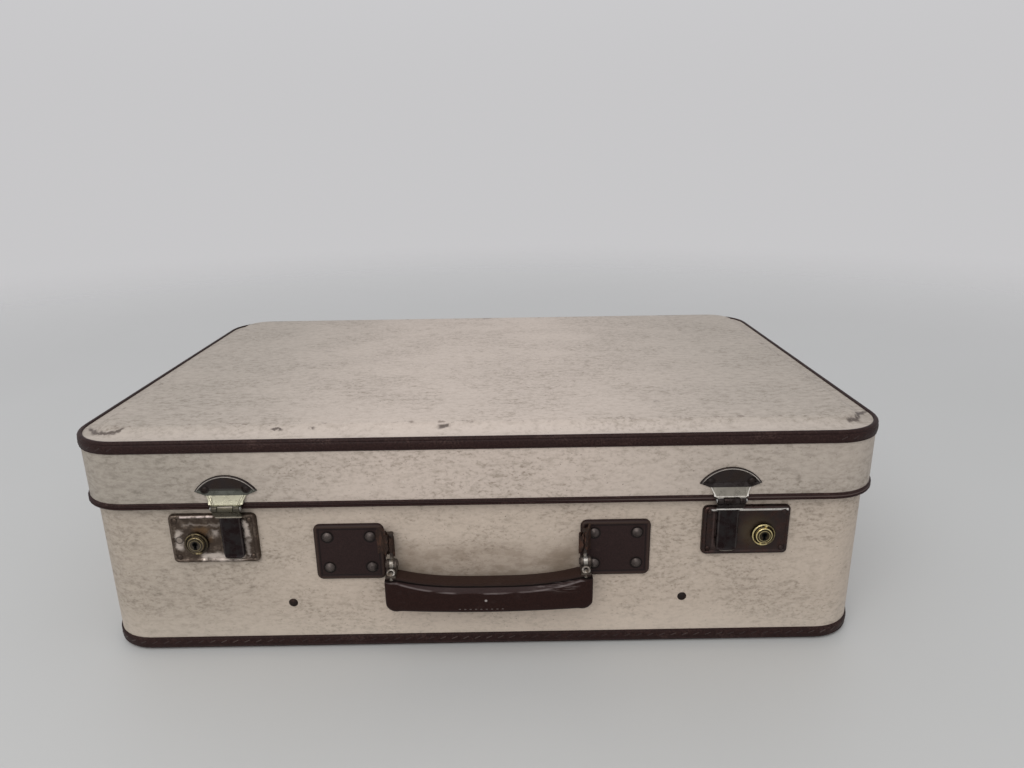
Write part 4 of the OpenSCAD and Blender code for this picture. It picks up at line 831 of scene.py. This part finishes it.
def fan():
    """The fan's outline as one face, drawn from in front, standing on its lower edge."""
    bm = bmesh.new()
    tip = bm.verts.new((-fan_half, fan_tip, 0))
    made = bmesh.ops.spin(bm, geom=[tip], cent=(0, fan_top - fan_r, 0), axis=(0, 0, -1),
                          angle=2 * asin(fan_half / fan_r), steps=26)["geom_last"]
    end = only(BMVert, made)[0]
    feet = [bm.verts.new((x, 0, 0)) for x in (fan_foot, -fan_foot)]
    for pair in ((end, feet[0]), (feet[0], feet[1]), (feet[1], tip)):
        bm.edges.new(pair)
    bmesh.ops.contextual_create(bm, geom=bm.edges[:])
    turn_to(bm, bm.faces[:], bm.faces[:][0], (0, 0, 1))
    return bm


for side, turn, lip_face, lip_line, foot, under in (
        ("left", -1, (0.44, 0.420, 0.315), (0.14, 0.125, 0.09), (0.110, 0.113, 0.096),
         (0.064, 0.056, 0.041)),
        ("right", 1, (0.245, 0.225, 0.190), (0.80, 0.76, 0.70), (0.034, 0.027, 0.026),
         (0.022, 0.016, 0.014))):
    x = turn * hasp_x
    plate = plated(f"{side}_catch_nickel", (0.044, 0.033, 0.029), (0.019, 0.0125, 0.0115),
                                0.52, 0.22)
    height, aside = plate.axis("Z"), abs(plate.axis("X") - x * mm)
    plate.tint(plate.past(height, fan_z + 6.5, fan_z + 2.5), foot)
    for rivet_x in (x - 15, x + 15):
        around = plate.from_axis(rivet_x, fan_z + 5.2)
        plate.tint(0.9 * plate.past(around, 3.9, 3.0), (0.014, 0.009, 0.008))
    away = plate.from_axis(x, fan_z + fan_top - fan_r)
    # Painted highlight along the raised bead round the arc.
    bead = plate.band(away, fan_r - 1.25, 0.6, 0.15) * plate.past(height, fan_z + 3, fan_z + 7)
    plate.tint(bead * (1 - 0.55 * plate.worn), (0.80, 0.73, 0.66))
    lip = plate.past(height, fan_z + 0.5, fan_z + 0.1) * plate.past(height, lip_low - 0.2, lip_low + 0.2)
    inset = lip_half * mm + lip_spread * (height - (axis_z + 2.6) * mm) - aside
    # On the left the lip lines are two dark lines on its bevel; on the right they are painted highlights
    # along the lip's sides and lower edge.
    if side == "left":
        lines = plate.band(inset, 1.5, 0.5, 0.2).most(plate.band(inset, 2.8, 0.4, 0.15))
    else:
        lines = plate.past(inset, 0.8, 0.5).most(plate.past(height, lip_low + 0.8, lip_low + 0.5))
    plate.tint(lip, plate.blend(0.8 * lines, lip_face, lip_line))
    plate.tint(plate.past(height, lip_low, lip_low - 0.3), under)
    bm = fan()
    press(bm, [(0.05, 0.9), (0.3, 0.45), (0.45, 0.25), (0.45, 0), (0.3, -0.3), (0.3, -0.4)])
    for vert in bm.verts:
        if vert.co.y < 2.4 and vert.co.z > 0.9:
            vert.co.z = 0.9
    thicken(bm, 0.6)
    bmesh.ops.transform(bm, matrix=on_wall(x, lid_y, fan_z), verts=bm.verts[:])
    ribbon(bm, x, [(lid_y - 0.9, fan_z + 0.6, 14.4), (lid_y - 1.1, fan_z - 0.2, 14.3),
                   (axis_y + 0.9, axis_z + 2.6, lip_half), (axis_y - 0.1, axis_z + 2.45, 10.6)],
           0.8, (0, -1, 0))
    for s in (-1, 1):
        ribbon(bm, x + s * 11.6, [(lid_y - 1.0, fan_z + 0.3, 1.0), (axis_y + 0.6, axis_z + 3.0, 0.9)],
               0.7, (0, -1, 0))
        ends = sorted((x + s * (knuckle_half + knuckle_gap), x + s * barrel_half))
        barrel(bm, *ends, axis_y, axis_z, barrel_r)
    put(bm, f"{side}_catch_fan", "lid", plate, "dark_nickel", f"{side}_catch_plate", crease=40)
dark_rivet = plated("dark_rivet", (0.040, 0.029, 0.025), (0.014, 0.009, 0.008), 0.5, 0.3)
dress(dark_rivet, "catch_plate_rivets")
dress(steel, "left_hasp_pin", "right_hasp_pin")

# Hasps: pressed steel tongues that swing on the catch plates' pins and lie over the locks, rounded
# in front, with a rolled lip to lift them by and a nose behind for the bolt. Worn nearly black, with
# painted highlights along the bend below the barrel and along the lower edge.
tongue_y, tongue_low, tongue_top = wall_y - 3.9, axis_z - 43.5, axis_z - 9.9
tongue_w, tongue_r, cut_away, bend_z = 16, 5, 5, tongue_top + 1.5
tongue_l = bend_z - tongue_low + cut_away
for side, turn, flange, bend_highlight in (("left", -1, (0.088, 0.078, 0.054), (0.46, 0.41, 0.34)),
                                 ("right", 1, (0.024, 0.018, 0.016), (0.98, 0.95, 0.90))):
    x = turn * hasp_x
    hasp = plated(f"{side}_hasp_nickel", (0.021, 0.0135, 0.0135), (0.0105, 0.0068, 0.0068), 0.5, 0.22,
                         (0.5, 0.5, 14))
    height, aside = hasp.axis("Z"), abs(hasp.axis("X") - x * mm)
    hasp.tint(0.5 * hasp.band(aside, 6.9, 0.7, 0.2), (0.075, 0.062, 0.058))
    hasp.tint(hasp.past(height, bend_z, bend_z + 0.8), flange)
    # Painted highlights: a bright line along the bend below the barrel, on the left also along the top of the
    # knuckle.
    bent = hasp.band(height, bend_z, 0.95, 0.45)
    top = hasp.band(height, axis_z + 2.0, 0.4, 0.1)
    hasp.tint(bent.most(0.7 * top if side == "left" else bent), bend_highlight)
    # Painted highlight: the tongue's rolled lower edge is painted lighter.
    hasp.tint(0.6 * hasp.past(height, tongue_low + 2.0, tongue_low + 1.0), (0.30, 0.27, 0.24))
    bm = flat(tongue_w, tongue_l, tongue_r, 0)
    press(bm, [(0.05, 0.7), (0.3, 0.35), (0.5, 0.15)])
    slice_at(bm, (0, tongue_l / 2 - cut_away, 0), (0, 1, 0), cut_off=True)
    score(bm, "x", even(7.2, 12))
    score(bm, "y", [-tongue_l / 2 + 0.85 + 0.45 * k for k in range(1, 8)])
    for vert in bm.verts:
        if vert.co.z > 1:
            lift = 0.7 * exp(-((vert.co.y + tongue_l / 2 - 1.9) / 1.0) ** 2)
            vert.co.z += 1.1 * (1 - (2 * vert.co.x / tongue_w) ** 2) + lift
    bmesh.ops.holes_fill(bm, edges=[e for e in bm.edges if e.is_boundary], sides=0)
    bmesh.ops.transform(bm, matrix=on_wall(x, tongue_y, tongue_low + tongue_l / 2), verts=bm.verts[:])
    ribbon(bm, x, [(axis_y - 1.7, axis_z - 2.4, 9.9), (axis_y - 0.9, axis_z - 3.6, 9.9),
                   (tongue_y - 3.0, bend_z + 0.8, 9.9), (tongue_y - 2.7, bend_z - 0.1, 9.6),
                   (tongue_y - 1.9, bend_z - 1.2, 8.2)], 1.0, (0, -1, 0))
    barrel(bm, x - knuckle_half, x + knuckle_half, axis_y, axis_z, barrel_r)
    block(bm, (x - 4, tongue_y - 0.2, 88), (x + 4, wall_y - 0.4, 94), 0.4)
    put(bm, f"{side}_hasp_tongue", f"{side}_hasp", hasp, "dark_nickel", f"{side}_hasp", crease=40)

# Handle pads: brown leather squares with a creased edge, held by four steel rivets that dimple
# them. The inner edge is rolled to a loop round the hook's rod and has split and torn there.
pad_w, pad_h, pad_r, pad_z = 52.5, 46, 5, 84.5
field_x, field_y = 21.6, 18.6
loop_y, loop_low, loop_high, loop_r = -200.6, 84, 101.8, 3.7
pad_rivets = [(x, y) for x in (-16, 16) for y in (-12.75, 12.75)]


def brown_leather(name, deep, rubbed, gloss, share):
    """Worn leather."""
    f = Finish(name)
    pore = f.grain((0.9, 0.9, 0.9), 3, 4, 0.6)
    fold = f.grain((7, 7, 3.5), 8, 4, 0.6)
    wear = f.rise(f.grain((15, 15, 9), 5, 4, 0.62), 0.62 - share, 0.85 - share)
    f.colour = f.blend(f.rise(pore, 0.3, 0.7), deep, tuple(1.6 * c for c in deep))
    f.tint(0.6 * wear, rubbed)
    f.set({"Roughness": gloss + 0.22 * pore + 0.1 * wear, "Normal": f.bump(pore + 2 * fold, 0.14),
           "Specular IOR Level": 0.16})
    return f


def curtain(bm, route, low, high, rows):
    """A sheet that stands on a plan of (x, y) points; its faces from the route's start upwards."""
    before = set(bm.faces)
    verts = [bm.verts.new((x, y, low)) for x, y in route]
    edges = [bm.edges.new(pair) for pair in zip(verts, verts[1:])]
    for _ in range(rows):
        made = bmesh.ops.extrude_edge_only(bm, edges=edges)["geom"]
        edges = only(BMEdge, made)
        bmesh.ops.translate(bm, vec=(0, 0, (high - low) / rows), verts=only(BMVert, made))
    return [f for f in bm.faces if f not in before]


torn = brown_leather("torn_leather", (0.020, 0.0115, 0.0085), (0.058, 0.034, 0.023), 0.5, 0.16)
raw = torn.rise(torn.grain((2.6, 2.6, 5), 14, 4, 0.65), 0.47, 0.62)
torn.tint(0.6 * raw, (0.090, 0.042, 0.027))
for side, turn, pad_x, loop_x, reach in (("left", 1, -98.2, -67.2, 11), ("right", -1, 101.2, 76.8, 6)):
    leather = brown_leather(f"{side}_pad_leather", (0.0170, 0.0086, 0.0080), (0.044, 0.026, 0.022),
                            0.40, 0.02)
    from_x, from_z = (abs(leather.axis(letter) - c * mm) for letter, c in (("X", pad_x), ("Z", pad_z)))
    inset = (pad_w / 2 * mm - from_x).least(pad_h / 2 * mm - from_z)
    leather.tint(0.5 * leather.band(inset, 1.8, 1.2, 0.3), (0.056, 0.036, 0.026))
    leather.tint(0.8 * leather.band(inset, 3.9, 0.7, 0.2), (0.008, 0.005, 0.0045))
    for rx, ry in pad_rivets:
        away = leather.from_axis(pad_x + rx, pad_z + ry)
        leather.tint(0.8 * leather.band(away, 4.3, 1.1, 0.3), (0.006, 0.004, 0.0035))
    bm = flat(pad_w, pad_h, pad_r, 0)
    press(bm, [(0.02, 0.9), (0.25, 0.7), (0.5, 0.55), (0.6, 0.35), (0.6, 0.15), (0.6, -0.05), (0.6, -0.22),
               (0.6, -0.22), (0.8, -0.12)])
    score(bm, "x", even(field_x - 0.1, 30))
    score(bm, "y", even(field_y - 0.1, 26))
    for vert in bm.verts:
        x, y, _ = vert.co
        if abs(x) < field_x and abs(y) < field_y:
            dimple = sum(exp(-((hypot(x - rx, y - ry) - 3.4) / 1.7) ** 2) for rx, ry in pad_rivets)
            vert.co.z += 0.45 * (1 - (x / field_x) ** 2) * (1 - (y / field_y) ** 2) - 0.5 * dimple
    thicken(bm, 0.6)
    put(bm, f"{side}_pad_square", "base", leather, "pad_leather", f"{side}_handle_pad",
        at=on_wall(pad_x, wall_y, pad_z, turn), crease=50)

    bm = bmesh.new()
    tube = [(loop_x - turn * loop_r * cos(a), loop_y + loop_r * sin(a))
            for a in (radians(-98 - 344 * k / 22) for k in range(23))]
    web = [(loop_x - turn * reach, loop_y + 5.4), (loop_x - turn * (0.4 * reach + 3), loop_y + 4.4),
           (loop_x - turn * 4.4, loop_y + 2), (loop_x - turn * 3.5, loop_y - 0.6)]
    for route, facing in ((tube, (turn, 0, 0)), (web, (0, -1, 0))):
        sheet = curtain(bm, route, loop_low, loop_high, 10)
        foremost = max(sheet, key=lambda f: f.calc_center_median().dot(Vector(facing)))
        turn_to(bm, sheet, foremost, facing)
        for vert in {v for f in sheet for v in f.verts}:
            x, y, z = vert.co
            share = (z - loop_low) / (loop_high - loop_low)
            outer = min(1, max(0, (turn * (x - loop_x) + 6) / 9.7))
            in_front = max(0, (loop_y - y) / loop_r)
            vert.co.x += (0.35 * sin(1.9 * z + 2 * turn) + 0.25 * sin(4.3 * z)) * in_front
            vert.co.z += (0.9 * sin(1.7 * x + y) + 0.5 * sin(3.1 * y)) * abs(2 * share - 1) ** 6
            vert.co.z += (3.5 - 6.5 * outer) * share ** 2 + 5 * in_front * (1 - share) ** 2
        bmesh.ops.solidify(bm, geom=sheet, thickness=1.1)
    put(bm, f"{side}_pad_loop", "base", torn, "pad_leather", f"{side}_handle_pad", crease=60)
pad_rivet = plated("dull_pad_rivet", (0.120, 0.100, 0.092), (0.048, 0.036, 0.032), 0.48, 0.46)
dress(pad_rivet, "handle_pad_rivets")
dress(steel, "handle_backing_plates")

# Handle metal: steel hooks in the pads' loops, and riveted tabs that hinge on them and carry a
# rolled eye ring in front. The hooks are dark inside the loops.
hook_metal = plated("worn_hook", (0.36, 0.335, 0.30), (0.13, 0.10, 0.075), 0.50, 0.32)
in_loop = hook_metal.past(hook_metal.axis("Z"), 82.5, 84.5)
hook_metal.tint(in_loop, (0.030, 0.018, 0.013))
hook_metal.set({"Metallic": 0.8 - 0.7 * in_loop})
tab_metal = plated("worn_tab", (0.15, 0.125, 0.105), (0.052, 0.037, 0.029), 0.55, 0.36)
dull_nickel = plated("dull_nickel", (0.34, 0.315, 0.285), (0.12, 0.09, 0.068), 0.52, 0.34)
dress(hook_metal, "left_handle_hook", "right_handle_hook", "handle_tab_rivets")
dress(tab_metal, *(f"{side}_handle_{part}" for side in ("left", "right") for part in ("pin", "tab")))
for side, eye_x in (("left", -66), ("right", 78)):
    bm = turned([(1.8, -0.3), (1.8, 0.2), (2.2, 0.45), (2.7, 0.45), (3.2, 0.1), (3.2, -0.3), (1.8, -0.3)], 28)
    put(bm, f"{side}_eye_ring", "handle", dull_nickel, "worn_nickel",
        at=Matrix.Translation((eye_x, -209.6, 74.7)) @ Matrix.Rotation(radians(40), 4, "X"), crease=40)
dress(dark_rivet, "handle_core")

# Handle strap and grip: a leather strap along the top and a stuffed leather grip folded round it,
# closed at the ends by tucked corners. A ridge runs along its front where the stuffing ends. Light
# and shade are painted on the grip: a highlight along the ridge, a lighter facet above it, and
# near-black shade in the seam under the strap.
grip_half, grip_y, grip_low = 77.5, -205.4, 39.8
strap_w, strap_d, strap_t, strap_top, strap_dip, strap_bend = 151.5, 11, 1.9, 72, 6.5, 67.65
seam_drop, ridge_drop, belly, tuck_l = 3.2, 0.9, 4.0, 4.5
strap_leather = brown_leather("strap_leather", (0.0215, 0.0105, 0.0078), (0.050, 0.031, 0.024), 0.34, 0.05)
grip_leather = brown_leather("grip_leather", (0.0150, 0.0060, 0.0048), (0.040, 0.025, 0.023), 0.24, 0.04)
height = grip_leather.axis("Z")
aside = abs(grip_leather.axis("X") - grip_x * mm)
reach, share = (aside * (1 / (strap_bend * mm))).least(1), aside * (1 / (grip_half * mm))
ridge_low = strap_top - strap_dip - seam_drop - ridge_drop - belly
ridge = ridge_low * mm + strap_dip * mm * reach * reach * reach + belly * mm * share * share
rubbed = grip_leather.rise(grip_leather.grain((16, 16, 3), 23, 3, 0.6), 0.36, 0.60)
glint = grip_leather.past(abs(height - ridge), 0.9, 0.2) * rubbed
# Painted light: the facet above the ridge is painted lighter, as it faces up to the light, and a highlight
# broken by noise runs along the ridge.
grip_leather.tint(0.2 * grip_leather.rise(height, ridge, ridge + 1.0 * mm), (0.060, 0.038, 0.038))
grip_leather.tint(0.55 * glint, (0.20, 0.165, 0.16))
seam = ridge + (ridge_drop + belly - 0.3) * mm - belly * mm * share * share
# Painted shade: the seam under the strap is painted near-black and made rough.
tucked = grip_leather.rise(height, seam - 0.9 * mm, seam - 0.4 * mm)
grip_leather.tint(0.9 * tucked, (0.006, 0.0035, 0.003))
scuff = grip_leather.rise(grip_leather.grain((9, 9, 0.9), 23, 3, 0.6), 0.52, 0.64)
scuff = scuff * grip_leather.within((40, 72), (59, 66), 3)
grip_leather.tint(0.4 * scuff, (0.20, 0.165, 0.155))
grip_leather.tint(0.65 * grip_leather.near((3.6, grip_y - 7, 51.5), 0.7, 1.3), (0.50, 0.45, 0.43))
grip_leather.set({"Roughness": 0.30 + 0.6 * tucked, "Specular IOR Level": 0.10})


def strap_level(x):
    """The level of the strap's top, which dips between the tabs."""
    reach = abs(x) / strap_bend
    return strap_top - strap_dip * (1 - reach ** 3) if reach < 1 else strap_top


bm = bmesh.new()
bmesh.ops.create_grid(bm, x_segments=40, y_segments=6, size=0.5,
                      matrix=Matrix.Diagonal((strap_w, strap_d, 1, 1)))
for vert in bm.verts:
    x, y, _ = vert.co
    vert.co = (grip_x + x, grip_y + y, strap_level(x) - 0.25 * (2 * abs(y) / strap_d) ** 4)
bm.normal_update()
thicken(bm, strap_t)
put(bm, "handle_strap_leather", "handle", strap_leather, "grip_leather", "handle_strap", crease=60)


def grip_under(x):
    """The level of the grip's lower side: folded up at the corners, with a bulge inside each fold."""
    tuck = max(0, abs(x) - grip_half + tuck_l) / tuck_l
    return grip_low + 2.7 * (x / grip_half) ** 2 + 3.6 * tuck ** 1.3 - 0.7 * exp(-((abs(x) - 70) / 2.2) ** 2)


def grip_side(x):
    """Half the grip's section as (out, up) from the seam under the strap round to the lower side."""
    share = abs(x) / grip_half
    high, low = strap_level(x) - seam_drop, grip_under(x)
    ridge = high - ridge_drop - belly * (1 - share ** 2)
    draw = 1 - 0.25 * share ** 50
    return [(out * draw, up) for out, up in (
        (2.5, high), (3.7, high - 0.1), (4.4, high - 0.5), (6.6, ridge + 0.5), (7, ridge), (6.9, ridge - 0.7),
        (6.55, 0.6 * ridge + 0.4 * low), (6.6, 0.35 * ridge + 0.65 * low), (6.5, low + 3), (5.4, low + 0.8),
        (2.5, low))]


bm = bmesh.new()
rings, points = 64, 22
bmesh.ops.create_grid(bm, x_segments=rings, y_segments=points, size=0.5)
for vert in bm.verts:
    reach = min(1, abs(2 * vert.co.x))
    x = (1 if vert.co.x > 0 else -1) * grip_half * (1 - (1 - reach) ** 1.3)
    spot = round((vert.co.y + 0.5) * points) % points
    in_front = spot < points // 2
    out, up = grip_side(x)[spot if in_front else points - 1 - spot]
    vert.co = (grip_x + x, grip_y + (-out if in_front else out), up)
weld(bm)
bmesh.ops.holes_fill(bm, edges=[e for e in bm.edges if e.is_boundary], sides=0)
grip = put(bm, "handle_grip_leather", "handle", grip_leather, "grip_leather", "handle_grip", crease=60)
rounding = grip.modifiers.new("rounding", "SUBSURF")
rounding.levels = rounding.render_levels = 1

pale_thread = Finish("pale_thread")
twist = pale_thread.grain((0.6, 0.6, 0.6), 4, 2)
pale_thread.set({"Base Color": pale_thread.blend(twist, (0.065, 0.047, 0.042), (0.15, 0.120, 0.110)),
                 "Roughness": 0.6, "Normal": pale_thread.bump(twist, 0.1)})
bm = bmesh.new()
for k in range(9):
    x = -22 + 4 * k
    low = grip_under(x) + 4.2
    block(bm, (grip_x + x - 0.8, grip_y - 6.85, low), (grip_x + x + 0.8, grip_y - 6.3, low + 0.5), 0.15, 1)
put(bm, "handle_grip_stitches", "handle", pale_thread, "grip_leather", crease=60)

# Packing straps: two brown cotton webs riveted through the front and back walls, laid over the
# floor and joined by a slide buckle in the middle.
web_t, web_half = 1.4, 12.5
webbing = Finish("cotton_webbing")
webbing.at = webbing.add("UVMap", {"uv_map": "web"})
rib, warp = (webbing.add("TexWave", {"bands_direction": way},
                         {"Vector": webbing.at, "Scale": scale, "Distortion": 0.6})
             for way, scale in (("Y", 230.0), ("X", 300.0)))
fade = webbing.grain((30, 30, 1), 4, 3)
webbing.colour = webbing.blend(fade, (0.20, 0.135, 0.082), (0.29, 0.205, 0.13))
webbing.tint(0.45 * (1 - rib * warp), (0.10, 0.064, 0.038))
webbing.set({"Roughness": 0.85, "Normal": webbing.bump(rib * warp, 0.25)})
for side, web_x in (("left", -145.6), ("right", 154.0)):
    for end, sign, back in (("front", -1, 62), ("rear", 1, 26)):
        top_z = box_of(f"{side}_{end}_strap")[1].z
        route = [(190.4, top_z), (190.4, 8), (189.4, 6.2), (187.4, 5.5), (181.4, 5.5), (171.4, 3), (5.4, 3),
                 (4.6, 4.2), (4.6, 7.2), (5.4, 8.4), (7, 8.6), (10, 8.6), (16, 6), (10 + back, 6)]
        bm = bmesh.new()
        ribbon(bm, web_x, [(sign * y, z, web_half) for y, z in route], web_t, (0, sign, 0))
        done = [0.0]
        for a, b in zip(route, route[1:]):
            done.append(done[-1] + hypot(b[0] - a[0], b[1] - a[1]))
        web = bm.loops.layers.uv.new("web")
        for face in bm.faces:
            for corner in face.loops:
                y, z = sign * corner.vert.co.y, corner.vert.co.z
                far = min(range(len(route)), key=lambda j: hypot(y - route[j][0], z - route[j][1]))
                corner[web].uv = (corner.vert.co.x * mm, done[far] * mm)
        put(bm, f"{side}_{end}_web", "base", webbing, "webbing", f"{side}_{end}_strap", crease=40)
dress(steel, "left_strap_buckle", "right_strap_buckle")
brown_rivet = plated("brown_rivet", (0.040, 0.025, 0.021), (0.016, 0.010, 0.009), 0.5, 0.45)
dress(brown_rivet, "packing_strap_rivets")
